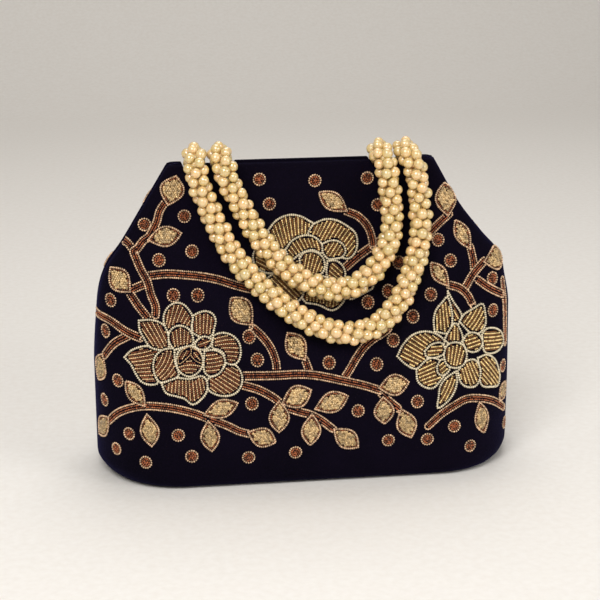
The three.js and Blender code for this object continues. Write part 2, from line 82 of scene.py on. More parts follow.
class BagSizes(bpy.types.PropertyGroup):
    """Sizes of the bag, its beads and its ropes."""
    bag_width: length("Bag width", "Widest part of the bag", 225)
    bag_height: length("Bag height", "From the floor to the edge of the mouth", 165)
    base_depth: length("Base depth", "Front to back at the base", 88)
    bead_pitch: length("Bead pitch", "From one sewn bead to the next", 1.15)
    vine_width: length("Vine width", "Across a vine between its outer bead rows", 3.6)
    leaf_width: length("Leaf width", "Across a common leaf at its fullest", 9.4)
    disc_radius: length("Disc radius", "Middle of a disc to its ring of beads", 3.1)
    pearl_diameter: length("Pearl diameter", "One pearl of the ropes", 5.7)
    rope_diameter: length("Rope diameter", "Four twisted strands of pearls", 13.4)
    rope_twist: length("Rope twist", "Rope length in which the strands turn once", 46)


class BagColours(bpy.types.PropertyGroup):
    """Colours of the bag's materials."""
    velvet: colour("Velvet", "Cut pile of the bag", "#06030d")
    velvet_sheen: colour("Velvet sheen", "Light caught by the tips of the pile", "#2c27a8")
    pale_bead: colour("Pale bead", "Outline of the petals", "#e0d2b4")
    sand_bead: colour("Sand bead", "Outline of the vines, leaves and discs", "#dab692")
    straw_bead: colour("Straw bead", "Pale stripes of the petals", "#eacb8c")
    gold_bead: colour("Gold bead", "Stripes of the petals", "#d2ad80")
    copper_bead: colour("Copper bead", "Filling of the vines and discs", "#82492a")
    brown_bead: colour("Brown bead", "Dark stripes of the petals", "#7c4c1e")
    maroon_bead: colour("Maroon bead", "Red-brown stripes of the petals", "#6b3516")
    leaf_stone: colour("Leaf stone", "Chips of stone that fill a leaf", "#b7996a")
    pearl: colour("Pearl", "Coated pearls of the ropes", "#dfc27a")
    pearl_blush: colour("Pearl blush", "The warmest of the coated pearls", "#e8c283")
    lining: colour("Lining", "Satin inside the bag", "#b89a5c")


# Shape of the bag. Its depth shrinks from FLARE_FOOT up to the neck, NECK_LENGTH below the mouth. The spans
# are the distances between a rope's two ends.

FLARE_FOOT = 30 * MM
NECK_LENGTH = 22 * MM
MOUTH_HALF_DEPTH = 6.2 * MM
SEAM_FOOT = 4 * MM
SEAM_MOUTH = 2.6 * MM
SEAM_GAP = 0.3 * MM
EDGE_RADIUS = 5 * MM
FRONT_BOW = 2 * MM
PLEAT_START = 90 * MM
PLEAT_DEPTH = 4 * MM
VELVET_THICKNESS = 1.4 * MM
STIFFENER_INSET = 1.7 * MM
STIFFENER_THICKNESS = 1.0 * MM
LINING_INSET = 3.0 * MM
LINING_THICKNESS = 0.6 * MM
LINING_EASE = 2.4 * MM
HEM_HEIGHT = 6 * MM
WALL_LAYER_BOTTOM = 5.1 * MM
BASE_SEAM = 1 * MM
FRONT_SPAN = 114 * MM
BACK_SPAN = 84 * MM
SADDLE_DEPTH = 4.6 * MM
SADDLE_REACH = 6.9 * MM
SADDLE_SLOPE = 2.6 * MM
BINDING_HEIGHT = 3 * MM

# How far the padding under the velvet swells
PADDING_SWELL = 0.55 * MM

# Side outlines, left and right, as shares of the height and of half the width
LEFT_OUTLINE = [(0, 0.94), (0.06, 1), (0.15, 1), (0.36, 1), (0.52, 0.982), (0.61, 0.964), (0.68, 0.925),
                (0.75, 0.853), (0.85, 0.764), (1, 0.631)]
RIGHT_OUTLINE = [(0, 0.96), (0.06, 1), (0.15, 1), (0.36, 1), (0.52, 1), (0.61, 0.978), (0.68, 0.951),
                 (0.75, 0.862), (0.85, 0.747), (1, 0.618)]


def ease(share):
    """Smooth step from 0 to 1."""
    share = np.clip(share, 0, 1)
    return share * share * (3 - 2 * share)


def smooth_value(pairs, share):
    """A smooth curve through pairs: a cubic between each two, with slopes taken from their neighbours."""
    places, values = np.array(pairs).T
    slopes = np.gradient(values)
    slopes[1:-1] = (values[2:] - values[:-2]) / (places[2:] - places[:-2])
    slopes[[0, -1]] = (values[[1, -1]] - values[[0, -2]]) / (places[[1, -1]] - places[[0, -2]])
    low = np.clip(np.searchsorted(places, share) - 1, 0, len(places) - 2)
    span = places[low + 1] - places[low]
    t = (share - places[low]) / span
    rise = ease(t)
    bend = slopes[low] * t * (1 - t) ** 2 - slopes[low + 1] * t * t * (1 - t)
    return values[low] * (1 - rise) + values[low + 1] * rise + span * bend


def unit(vectors):
    """Vectors of length one."""
    return vectors / np.linalg.norm(vectors, axis=-1, keepdims=True)


class BagForm:
    """The bag's walls as a function of the share across (-1 left seam to 1 right seam) and the height.

    At each height the outline is a flat face with a slight bow, then a quarter circle at each side that
    ends at the side seam. Width and depth shrink towards the mouth."""

    def __init__(self, sizes):
        self.width = sizes.bag_width
        self.height = sizes.bag_height
        self.depth = sizes.base_depth
        self.neck = self.height - NECK_LENGTH

    def half_width(self, z, side):
        share = np.clip(z / self.height, 0, 1)
        widths = np.where(side < 0, smooth_value(LEFT_OUTLINE, share), smooth_value(RIGHT_OUTLINE, share))
        return np.minimum(widths, 1) * self.width / 2

    def half_depth(self, z):
        return self.depth / 2 + (MOUTH_HALF_DEPTH - self.depth / 2) * self.flare(z)

    def flare(self, z):
        return ease((z - FLARE_FOOT) / (self.neck - FLARE_FOOT))

    def seam(self, z):
        return SEAM_FOOT + (SEAM_MOUTH - SEAM_FOOT) * self.flare(z)

    def bow(self, z):
        return FRONT_BOW * np.sin(math.pi * np.clip(z / self.neck, 0, 1))

    def pleat(self, z):
        return PLEAT_DEPTH * ease((z - PLEAT_START) / (self.neck - PLEAT_START))

    def edge_inset(self, z):
        """How far the rounded bottom edge draws the outline in."""
        low = np.clip(EDGE_RADIUS - z, 0, EDGE_RADIUS)
        return EDGE_RADIUS - np.sqrt(EDGE_RADIUS ** 2 - low ** 2)

    def half_girth(self, z, side):
        """Length along the cloth from the middle of the face to the side seam."""
        corner = self.half_depth(z) - self.seam(z)
        return self.half_width(z, side) - corner + corner * math.pi / 2

    def wall(self, share, z, facing, inset=0.0):
        """Place on the front (facing -1) or back (facing 1) wall, drawn in by an inset."""
        share, z = np.broadcast_arrays(np.asarray(share, float), np.asarray(z, float))
        side = np.sign(share)
        half_width = self.half_width(z, side)
        half_depth = self.half_depth(z)
        seam = self.seam(z)
        corner = half_depth - seam
        flat = half_width - corner
        along = np.abs(share) * self.half_girth(z, side)
        drawn = inset + self.edge_inset(z) - self.softness(share * facing, z)
        turn = np.clip((along - flat) / corner, 0, math.pi / 2)
        round_x = flat + (corner - drawn) * np.sin(turn)
        round_y = seam + (corner - drawn) * np.cos(turn)
        across = np.minimum(along, flat) / flat
        flat_y = half_depth - drawn + self.bow(z) * (1 - across ** 2)
        x = np.where(along < flat, along, round_x)
        y = np.where(along < flat, flat_y, round_y)
        return np.stack([side * x, facing * y, z], axis=-1)

    def softness(self, share, z):
        """Slight swell and dents of the padded wall: three slow waves that fade at seams, base and mouth."""
        up = z / self.height
        waves = (np.sin(5.1 * share + 6.3 * up) + 0.7 * np.sin(9.7 * share - 7.9 * up + 1.3)
                 + 0.5 * np.sin(3.3 * share + 14.1 * up + 0.4))
        fade = ease((1 - np.abs(share)) / 0.25) * ease(up / 0.15) * ease((1 - up) / 0.25)
        return PADDING_SWELL * waves * fade

    def frame_on_wall(self, share, z, facing):
        """Place, direction across, direction up and outward normal on a wall."""
        step = 0.2 * MM
        girth = self.half_girth(z, np.sign(share))
        place = self.wall(share, z, facing)
        across = self.wall(share + step / girth, z, facing) - self.wall(share - step / girth, z, facing)
        up = self.wall(share, z + step, facing) - self.wall(share, z - step, facing)
        across = unit(across)
        normal = unit(np.cross(across, unit(up)) * -facing)
        return place, across, np.cross(normal, across), normal

    def mouth_dip(self, x):
        """How far the rope ends press the edge of the mouth down at a place across."""
        across = np.abs(x)
        away = np.minimum(np.abs(across - FRONT_SPAN / 2), np.abs(across - BACK_SPAN / 2))
        between = (across > BACK_SPAN / 2) & (across < FRONT_SPAN / 2)
        away = np.where(between, np.minimum(away, SADDLE_REACH - SADDLE_SLOPE / 3), away)
        return SADDLE_DEPTH * ease((SADDLE_REACH - away) / SADDLE_SLOPE)


# Camera, also used to carry places read from the photo onto the cloth

CAMERA_AZIMUTH = -8.0
CAMERA_ELEVATION = 17.0
CAMERA_AIM = np.array([-1.3, 0.0, 88.0]) * MM
CAMERA_DISTANCE = 862 * MM
FOCAL_PIXELS = 1600

# First guess of where a pixel lies: pixels to a metre of cloth, and the row where the front meets the floor
CLOTH_PIXELS = 1830
FLOOR_ROW = 478

# How the steps towards a place are damped and held back
CARRY_STEPS = 40
CARRY_DAMPING = 150.0
LONGEST_STEP = 8 * MM


def camera_axes():
    """Right, up and back directions of the camera, and its place."""
    azimuth, elevation = math.radians(CAMERA_AZIMUTH), math.radians(CAMERA_ELEVATION)
    back = np.array([math.sin(azimuth) * math.cos(elevation), -math.cos(azimuth) * math.cos(elevation),
                     math.sin(elevation)])
    right = np.array([math.cos(azimuth), math.sin(azimuth), 0.0])
    return right, np.cross(back, right), back, CAMERA_AIM + back * CAMERA_DISTANCE


def pixels_of(places):
    """Photo pixels of places in space."""
    right, up, back, eye = camera_axes()
    away = places - eye
    depth = -(away @ back)
    half = PHOTO_SIZE / 2
    return np.stack([half + FOCAL_PIXELS * (away @ right) / depth,
                     half - FOCAL_PIXELS * (away @ up) / depth], axis=-1)


def on_cloth(form, pixels):
    """Carries photo pixels onto the front wall: damped Newton steps until the place's own pixel agrees.

    Returns the length along the cloth from the middle, and the height, as one array of pairs."""
    pixels = np.asarray(pixels, float)
    along = (pixels[:, 0] - PHOTO_SIZE / 2) / CLOTH_PIXELS
    height = (FLOOR_ROW - pixels[:, 1]) / CLOTH_PIXELS

    def seen(along, height):
        share = along / form.half_girth(height, np.sign(along))
        return pixels_of(form.wall(np.clip(share, -1, 1), height, FRONT))

    step = 0.1 * MM
    for _ in range(CARRY_STEPS):
        missing = pixels - seen(along, height)
        by_along = (seen(along + step, height) - seen(along - step, height)) / (2 * step)
        by_height = (seen(along, height + step) - seen(along, height - step)) / (2 * step)
        jacobian = np.stack([by_along, by_height], axis=-1)
        turned = np.swapaxes(jacobian, -1, -2)
        square = turned @ jacobian + CARRY_DAMPING ** 2 * np.eye(2)
        move = np.linalg.solve(square, turned @ missing[..., None])[..., 0].clip(-LONGEST_STEP, LONGEST_STEP)
        height = np.clip(height + move[:, 1], 1 * MM, form.height - 1 * MM)
        limit = LAST_SHARE * form.half_girth(height, np.sign(along + move[:, 0]))
        along = np.clip(along + move[:, 0], -limit, limit)
    return np.stack([along, height], axis=-1)


# Meshes from arrays

def add_mesh(name, places, polygons, material, uv=None, indices=None, tone=None):
    """Puts arrays of places and equal-sided polygons into a new object. material may be a list."""
    mesh = bpy.data.meshes.new(name)
    places = np.asarray(places, dtype=np.float32).reshape(-1, 3)
    groups = polygons if isinstance(polygons, list) else [polygons]
    corners = np.concatenate([group.ravel() for group in groups]).astype(np.int32)
    totals = np.concatenate([np.full(len(group), group.shape[1]) for group in groups]).astype(np.int32)
    starts = np.concatenate([[0], np.cumsum(totals)[:-1]]).astype(np.int32)
    mesh.vertices.add(len(places))
    mesh.vertices.foreach_set("co", places.ravel())
    mesh.loops.add(len(corners))
    mesh.loops.foreach_set("vertex_index", corners)
    mesh.polygons.add(len(totals))
    mesh.polygons.foreach_set("loop_start", starts)
    mesh.polygons.foreach_set("use_smooth", np.ones(len(totals), bool))
    for one in material if isinstance(material, list) else [material]:
        mesh.materials.append(one)
    if indices is not None:
        mesh.polygons.foreach_set("material_index", np.asarray(indices, dtype=np.int32))
    if uv is not None:
        layer = mesh.uv_layers.new(name="cloth")
        layer.data.foreach_set("uv", np.asarray(uv, dtype=np.float32).reshape(-1, 2)[corners].ravel())
    if tone is not None:
        attribute = mesh.attributes.new("tone", "FLOAT", "POINT")
        attribute.data.foreach_set("value", np.asarray(tone, dtype=np.float32))
    mesh.update(calc_edges=True)
    mesh.validate()
    obj = bpy.data.objects.new(name, mesh)
    bpy.context.scene.collection.objects.link(obj)
    return obj


def grid_faces(rows, columns, close_rows=False, close_columns=False):
    """Quads of a grid of rows and columns of places, with the last joined to the first where asked."""
    row = np.arange(rows if close_rows else rows - 1)[:, None]
    column = np.arange(columns if close_columns else columns - 1)[None, :]
    next_row = (row + 1) % rows
    next_column = (column + 1) % columns
    corners = [row * columns + column, row * columns + next_column,
               next_row * columns + next_column, next_row * columns + column]
    return np.stack([np.broadcast_to(corner, (row.size, column.size)) for corner in corners],
                    axis=-1).reshape(-1, 4)


def ball_template(segments, rings):
    """Places and triangles of a unit ball with its poles along its own first axis."""
    latitude = math.pi * (np.arange(rings) + 1) / (rings + 1)
    longitude = 2 * math.pi * np.arange(segments) / segments
    ring = np.stack([np.broadcast_to(np.cos(latitude)[:, None], (rings, segments)),
                     np.sin(latitude)[:, None] * np.cos(longitude)[None, :],
                     np.sin(latitude)[:, None] * np.sin(longitude)[None, :]], axis=-1).reshape(-1, 3)
    places = np.concatenate([ring, [[1, 0, 0], [-1, 0, 0]]])
    quads = grid_faces(rings, segments, close_columns=True)
    sides = np.concatenate([quads[:, [0, 1, 2]], quads[:, [0, 2, 3]]])[:, ::-1]
    around = np.arange(segments)
    onward = (around + 1) % segments
    top = np.stack([np.full(segments, len(ring)), around, onward], axis=-1)
    last = (rings - 1) * segments
    bottom = np.stack([np.full(segments, len(ring) + 1), last + onward, last + around], axis=-1)
    return places, np.concatenate([sides, top, bottom])


def scatter(template, centres, axes, radii):
    """Copies a template to every centre, turned by three axes and stretched by three radii."""
    places, triangles = template
    turned = np.einsum("vi,nij->nvj", places, axes * np.asarray(radii)[:, :, None])
    copies = centres[:, None, :] + turned
    offsets = np.arange(len(centres))[:, None, None] * len(places)
    return copies.reshape(-1, 3), (triangles[None] + offsets).reshape(-1, 3)


# Materials

def add_node(material, kind, settings=None, inputs=None):
    """Adds one node, with its settings, and sets or links its inputs."""
    node = material.node_tree.nodes.new(kind)
    for key, value in (settings or {}).items():
        setattr(node, key, value)
    for key, value in (inputs or {}).items():
        if isinstance(value, bpy.types.NodeSocket):
            material.node_tree.links.new(value, node.inputs[key])
        else:
            node.inputs[key].default_value = value
    return node


def new_material(name):
    material = bpy.data.materials.new(name)
    material.use_nodes = True
    material.node_tree.nodes.clear()
    return material


def finish_material(material, inputs):
    """Gives a material its shader and output."""
    shader = add_node(material, "ShaderNodeBsdfPrincipled", None, inputs)
    output = add_node(material, "ShaderNodeOutputMaterial")
    material.node_tree.links.new(shader.outputs[0], output.inputs[0])
    return material


def rgba(colour_value, strength=1.0):
    return (colour_value[0] * strength, colour_value[1] * strength, colour_value[2] * strength, 1.0)


def noise(material, size, detail, stretch=(1, 1, 1)):
    """Noise whose patches are about one size across, in metres. Returns its factor socket."""
    coordinates = add_node(material, "ShaderNodeTexCoord")
    mapping = add_node(material, "ShaderNodeMapping", None,
                       {"Vector": coordinates.outputs["Object"], "Scale": stretch})
    field = add_node(material, "ShaderNodeTexNoise", None,
                     {"Vector": mapping.outputs[0], "Scale": 0.5 / size, "Detail": detail})
    return field.outputs[0]


def mix(material, factor, first, second):
    """The first colour where the factor is 0, the second where it is 1."""
    node = add_node(material, "ShaderNodeMix", {"data_type": "RGBA"}, {0: factor, 6: first, 7: second})
    return node.outputs[2]


def spread(material, value, low, high, to_low=0.0, to_high=1.0):
    """Stretches values from one range to another."""
    node = add_node(material, "ShaderNodeMapRange", None,
                    {0: value, 1: low, 2: high, 3: to_low, 4: to_high})
    return node.outputs[0]


def bump(material, height, depth, strength):
    """A normal that lets a height field of a real depth stand out."""
    node = add_node(material, "ShaderNodeBump", None,
                    {"Height": height, "Distance": depth, "Strength": strength})
    return node.outputs[0]


def cut_pile_velvet(name, colours):
    """Cotton velvet, woven with a cut pile: nearly black face on, blue-violet where the pile's tips
    catch the light. The base colour also has painted sheen: it is lighter and darker in patches where the
    pile leans another way, and fine specks are painted brighter as glints on the pile's tips."""
    material = new_material(name)
    # Painted sheen: where the pile leans another way, the colour is painted 0.65 to 1.35 times the velvet's
    # colour
    lean = spread(material, noise(material, 16 * MM, 3), 0.35, 0.7)
    pile = noise(material, 0.5 * MM, 2)
    base = mix(material, lean, rgba(colours.velvet, 0.65), rgba(colours.velvet, 1.35))
    # Painted glints: fine specks of the pile are painted up to half way towards 2.2 times the velvet's
    # colour, as tips catching light
    tips = mix(material, spread(material, pile, 0.3, 0.75, 0.0, 0.5), base, rgba(colours.velvet, 2.2))
    return finish_material(material, {
        "Base Color": tips,
        "Roughness": 0.9,
        "Specular IOR Level": 0.06,
        "Sheen Weight": 0.14,
        "Sheen Roughness": 0.4,
        "Sheen Tint": rgba(colours.velvet_sheen),
        "Normal": bump(material, pile, 0.35 * MM, 0.7),
    })


def lined_glass_bead(name, tint, metallic, roughness, darkest, palest):
    """Glass seed bead with a metal-lined hole: small bright highlights and a colour that shifts from bead
    to bead between its darkest and its palest strength. Where that spread is wide, as for copper beads and
    stones, it is partly painted light: the palest stand in for glints, the darkest stones for shade."""
    material = new_material(name)
    tone = add_node(material, "ShaderNodeAttribute", {"attribute_name": "tone"}).outputs["Fac"]
    body = mix(material, tone, rgba(tint, darkest), rgba(tint, palest))
    return finish_material(material, {
        "Base Color": body,
        "Metallic": metallic,
        "Roughness": spread(material, tone, 0, 1, roughness * 0.8, roughness * 1.3),
        "Coat Weight": 0.4,
        "Coat Roughness": 0.1,
    })


def coated_pearl(name, colours):
    """Moulded bead dipped in pearl essence: warm cream with a soft lustre, partly painted as pale cream
    clouds, and a clear coat.
    """
    material = new_material(name)
    tone = add_node(material, "ShaderNodeAttribute", {"attribute_name": "tone"}).outputs["Fac"]
    cloud = noise(material, 3 * MM, 2)
    body = mix(material, tone, rgba(colours.pearl, 0.9), rgba(colours.pearl_blush))
    # Painted lustre: pale cream clouds, up to 15 percent, stand in for the reflections of the pearl essence
    painted_lustre_colour = mix(material, spread(material, cloud, 0.35, 0.7, 0.0, 0.15), body, rgba(linear("#fbe6c4")))
    return finish_material(material, {
        "Base Color": painted_lustre_colour,
        "Roughness": spread(material, cloud, 0.3, 0.7, 0.24, 0.34),
        "Specular IOR Level": 1.0,
        "Subsurface Weight": 0.3,
        "Subsurface Radius": (1.0, 0.6, 0.25),
        "Subsurface Scale": 1.2 * MM,
        "Coat Weight": 1.0,
        "Coat Roughness": 0.1,
        "Coat IOR": 1.8,
    })


def woven(name, first, second, thread, roughness, sheen=0.0):
    """Plain woven cloth: threads cross at right angles and stand out a little."""
    material = new_material(name)
    coordinates = add_node(material, "ShaderNodeTexCoord")
    weave = []
    for direction in ("X", "Y"):
        wave = add_node(material, "ShaderNodeTexWave", {"bands_direction": direction},
                        {"Vector": coordinates.outputs["UV"], "Scale": 0.32 / thread, "Distortion": 0.6})
        weave.append(wave.outputs["Fac"])
    both = add_node(material, "ShaderNodeMath", {"operation": "MULTIPLY"}, {0: weave[0], 1: weave[1]})
    patch = noise(material, 12 * MM, 2)
    body = mix(material, both.outputs[0], rgba(first), rgba(second))
    aged = mix(material, spread(material, patch, 0.3, 0.8, 0.0, 0.3), body, rgba(first, 0.8))
    return finish_material(material, {
        "Base Color": aged,
        "Roughness": roughness,
        "Sheen Weight": sheen,
        "Normal": bump(material, both.outputs[0], 0.08 * MM, 0.6),
    })


def worn_metal(name, tint, roughness):
    """Turned and plated metal: fine turning lines, a little duller in patches."""
    material = new_material(name)
    lines = noise(material, 0.15 * MM, 1, stretch=(1, 1, 6))
    patch = noise(material, 4 * MM, 3)
    body = mix(material, spread(material, patch, 0.35, 0.7), rgba(tint), rgba(tint, 0.8))
    return finish_material(material, {
        "Base Color": body,
        "Metallic": 1.0,
        "Roughness": spread(material, patch, 0.3, 0.7, roughness, roughness * 1.5),
        "Normal": bump(material, lines, 0.01 * MM, 0.4),
    })


def pressed_board(name, tint):
    """Pressed fibre board: matt grey-brown with flecks of fibre."""
    material = new_material(name)
    fleck = noise(material, 1.2 * MM, 4, stretch=(1, 3, 1))
    body = mix(material, spread(material, fleck, 0.35, 0.65), rgba(tint, 0.8), rgba(tint, 1.1))
    return finish_material(material, {
        "Base Color": body,
        "Roughness": 0.95,
        "Normal": bump(material, fleck, 0.1 * MM, 0.5),
    })


# Walls, base and gussets

WALL_COLUMNS = 261
GUSSET_COLUMNS = 17
LAYER_ROWS = 90
NARROW_ROWS = 8
EDGE_STEPS = 4

# A layer lower than this, such as the binding of the mouth, needs only a few rows
NARROW_LAYER = 20 * MM

# How far below its start the fold of the velvet reaches its full thickness
FOLD_STEP = 0.4 * MM

# How much closer together the columns of a wall lie near its seams: the part of a quarter turn they take
COLUMN_TURN = 0.98

# Below the mouth's edge: where the rope ends' saddles fade out, and over what height
SADDLE_FOOT = 16 * MM
SADDLE_FADE = 14 * MM

# Undersides and tops of the plates inside the base
BOARD_HEIGHTS = (1.7 * MM, 3.9 * MM)
FLOOR_LINING_HEIGHTS = (4.2 * MM, 4.8 * MM)

# A plate's rim is rounded over this share of its thickness. Its half depth turns that into a share across.
RIM_SHARE = 0.3
PLATE_HALF_DEPTH = 40 * MM


def press_edge(form, grid, high):
    """Presses a layer's edge down under the rope ends."""
    fade = ease((grid[..., 2] - high + SADDLE_FOOT) / SADDLE_FADE)
    grid[..., 2] -= form.mouth_dip(grid[..., 0]) * fade


def add_layer(name, grid, uv, turned, material):
    """Makes a layer of cloth from a grid whose rows go once round its section. Quads between the two halves
    of the section, like the rungs of a ladder, close it at both seams."""
    rows, columns = grid.shape[:2]
    level = np.arange(rows // 2 - 1)
    opposite = rows - 1 - level
    rungs = np.stack([level, level + 1, opposite - 1, opposite], axis=-1) * columns
    faces = np.concatenate([grid_faces(rows, columns, close_rows=True), rungs, rungs[:, ::-1] + columns - 1])
    return add_mesh(name, grid, faces[:, ::-1] if turned else faces, material, uv=uv)


def wall_layer(form, name, facing, inset, thickness, low, high, material, follows_edge, fold=0.0):
    """One layer of a wall: rows of the wall function outside, a rounded top, and the same rows inside. The
    section is a closed loop carried from seam to seam.

    A fold makes the last few millimetres thicker by that much, where the cloth turns in over the layers
    behind."""
    quarter = math.pi / 2 * COLUMN_TURN
    shares = np.sin(np.linspace(-1, 1, WALL_COLUMNS) * quarter) / math.sin(quarter)
    rows = LAYER_ROWS if high - low > NARROW_LAYER else NARROW_ROWS
    radius = (thickness + fold) / 2
    heights = np.linspace(low, high - radius, rows)
    turn = np.linspace(0, math.pi / 2, EDGE_STEPS + 1)[1:]
    outer_z = np.concatenate([heights, high - radius + radius * np.sin(turn)])
    outer_in = np.concatenate([np.zeros(rows), radius - radius * np.cos(turn)])
    levels = np.concatenate([outer_z, outer_z[::-1]])
    thicknesses = thickness + fold * ease((outer_z - high + BINDING_HEIGHT) / FOLD_STEP)
    insets = inset + np.concatenate([outer_in, (thicknesses - outer_in)[::-1]])
    grid = form.wall(shares[None, :], levels[:, None], facing, insets[:, None])
    if follows_edge:
        press_edge(form, grid, high)
    if low < EDGE_RADIUS:
        lowered = np.clip(1 - grid[..., 2] / EDGE_RADIUS, 0, 1)
        grid[..., 2] += insets.clip(0)[:, None] * lowered ** 2
    girth = shares[None, :] * form.half_girth(levels, 1)[:, None]
    uv = np.stack([girth, np.broadcast_to(levels[:, None], girth.shape)], axis=-1)
    return add_layer(name, grid, uv, facing > 0, material)


def gusset_layer(form, name, side, inset, thickness, low, high, material):
    """A side gusset: a strip between the seams that folds inwards in a soft V towards the mouth."""
    share = np.linspace(-1, 1, GUSSET_COLUMNS)[None, :]
    heights = np.linspace(low, high, LAYER_ROWS)[:, None]
    seam = form.seam(heights) - SEAM_GAP
    fold = form.pleat(heights)
    inward = fold * (1 - np.abs(share) ** 1.4)
    stretch = np.hypot(fold, seam) / seam
    sheets = []
    for depth in (inset, inset + thickness):
        x = form.half_width(heights, side) - inward - depth * stretch - form.edge_inset(heights)
        z = heights + depth * ease(1 - heights / EDGE_RADIUS)
        sheets.append(np.stack(np.broadcast_arrays(side * x, seam * share, z), axis=-1))
    grid = np.concatenate([sheets[0], sheets[1][::-1]])
    if high == form.height:
        press_edge(form, grid, high)
    return add_layer(name, grid, grid[..., 1:], side < 0, material)


def base_plate(form, name, inset, low, high, material):
    """A flat plate of the base: the outline of the walls drawn in, filled from its middle, with rounded
    rims."""
    across = np.linspace(-1, 1, 121)
    front = form.wall(across, EDGE_RADIUS, FRONT, inset)
    back = form.wall(across[::-1], EDGE_RADIUS, BACK, inset)
    outline = np.concatenate([front, back])[:, :2]
    rim = RIM_SHARE * (high - low)
    shares = [0.35, 0.7, 0.94, 1 - rim / PLATE_HALF_DEPTH, 1]
    heights = [low] * 4 + [low + rim, high - rim] + [high] * 4
    rings = np.stack([np.insert(outline * share, 2, z, axis=1)
                      for share, z in zip(shares + shares[::-1], heights)])
    count = len(outline)
    faces = grid_faces(len(rings), count, close_columns=True)
    around = np.arange(count)
    onward = (around + 1) % count
    total = len(rings) * count
    last = total - count
    low_fan = np.stack([np.full(count, total), onward, around], axis=-1)
    high_fan = np.stack([np.full(count, total + 1), last + around, last + onward], axis=-1)
    places = np.concatenate([rings.reshape(-1, 3), [[0, 0, low], [0, 0, high]]])
    return add_mesh(name, places, [faces, low_fan, high_fan], material, uv=places[:, :2])


def carry(piece, node, body):
    """Hides the solid that a piece stands for, and makes the piece move with its body."""
    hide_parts(node)
    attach(piece, body)


def carry_gusset(piece, node):
    """A gusset is sewn to both walls. Here it only hides the solid it stands for and has its transform baked
    in, so it moves with neither wall.
    """
    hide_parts(node)
    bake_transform(piece)


class BAG_OT_velvet_walls(bpy.types.Operator):
    """Builds the velvet front and back walls, their mouth bindings and the base cover"""
    bl_idname = "evening_bag.velvet_walls"
    bl_label = "Velvet walls"

    def execute(self, context):
        form = BagForm(context.scene.bag_sizes)
        velvet = cut_pile_velvet("cut_pile_velvet", context.scene.bag_colours)
        for facing, side, body in ((FRONT, "front", "bag_body"), (BACK, "back", "back_wall")):
            panel = wall_layer(form, f"velvet_{side}", facing, 0.0, VELVET_THICKNESS, 0.0, form.height,
                               velvet, True, LINING_INSET - SEAM_GAP / 3 - VELVET_THICKNESS)
            hem = wall_layer(form, f"mouth_binding_{side}", facing, LINING_INSET, LINING_THICKNESS,
                             form.height - HEM_HEIGHT, form.height, velvet, True)
            carry(panel, f"{side}_panel", body)
            carry(hem, f"{side}_hem_strip", body)
        cover = base_plate(form, "velvet_base", EDGE_RADIUS + BASE_SEAM, 0.0, VELVET_THICKNESS, velvet)
        carry(cover, "base_cover", "bag_body")
        for name, side in (("left", -1), ("right", 1)):
            gusset = gusset_layer(form, f"velvet_gusset_{name}", side, 0.0, VELVET_THICKNESS, 0.0,
                                  form.height, velvet)
            carry_gusset(gusset, f"{name}_gusset")
        return {"FINISHED"}


class BAG_OT_inner_layers(bpy.types.Operator):
    """Builds the stiffeners, the satin lining and the base board"""
    bl_idname = "evening_bag.inner_layers"
    bl_label = "Stiffeners and lining"

    def execute(self, context):
        form = BagForm(context.scene.bag_sizes)
        satin = woven("satin_lining", context.scene.bag_colours.lining, linear("#d8bd80"), 0.4 * MM, 0.4, 0.2)
        buckram = woven("woven_buckram", linear("#aaa596"), linear("#cdc9bc"), 0.9 * MM, 0.9)
        board = pressed_board("pressed_fibre_board", linear("#8d8778"))
        for facing, side, body in ((FRONT, "front", "bag_body"), (BACK, "back", "back_wall")):
            stiffener = wall_layer(form, f"buckram_{side}", facing, STIFFENER_INSET, STIFFENER_THICKNESS,
                                   WALL_LAYER_BOTTOM, form.height - BINDING_HEIGHT, buckram, True)
            lining = wall_layer(form, f"lining_{side}", facing, LINING_INSET, LINING_THICKNESS,
                                WALL_LAYER_BOTTOM, form.height - HEM_HEIGHT - SEAM_GAP, satin, False)
            carry(stiffener, f"{side}_stiffener", body)
            carry(lining, f"{side}_lining", body)
        for name, side in (("left", -1), ("right", 1)):
            lining = gusset_layer(form, f"lining_gusset_{name}", side, STIFFENER_INSET, LINING_THICKNESS,
                                  WALL_LAYER_BOTTOM, form.neck, satin)
            carry_gusset(lining, f"{name}_gusset_lining")
        inset = EDGE_RADIUS + BASE_SEAM + SEAM_GAP
        plate = base_plate(form, "base_stiffening", inset, *BOARD_HEIGHTS, board)
        floor = base_plate(form, "lining_base", inset + LINING_EASE, *FLOOR_LINING_HEIGHTS, satin)
        carry(plate, "base_board", "bag_body")
        carry(floor, "base_lining", "bag_body")
        return {"FINISHED"}


# Snap, caps and ribbon tabs

TAB_WIDTH = 8 * MM
TAB_THICKNESS = 1 * MM
TAB_LENGTH = 10 * MM
TAB_OUTWARD = 1.8 * MM
TAB_TOP = 155.4 * MM


def ribbon_tab(name, x, y, top, material):
    """A flat tab of ribbon: a thin oblong section with round edges, carried down its length with a slight
    wave, and closed at both ends."""
    rows, columns = 24, 20
    turns = 2 * math.pi * np.arange(columns) / columns
    wide = np.sign(np.cos(turns)) * np.abs(np.cos(turns)) ** 0.35 * TAB_WIDTH / 2
    thick = np.sign(np.sin(turns)) * np.abs(np.sin(turns)) ** 0.7 * TAB_THICKNESS / 2
    run = np.linspace(0, 1, rows)[:, None]
    thinning = np.sqrt(np.clip(1 - np.abs(2 * run - 1) ** 24, 0.05, 1))
    wave = 0.15 * MM * np.sin(2 * math.pi * run)
    down = top - TAB_LENGTH * run
    grid = np.stack(np.broadcast_arrays(x + wide, y + wave + thick * thinning, down), axis=-1)
    faces = grid_faces(rows, columns, close_columns=True)
    around = np.arange(columns)[None]
    ends = [around[:, ::-1], (rows - 1) * columns + around]
    uv = np.stack([grid[..., 0], grid[..., 2]], axis=-1)
    return add_mesh(name, grid, [faces, *ends], material, uv=uv)


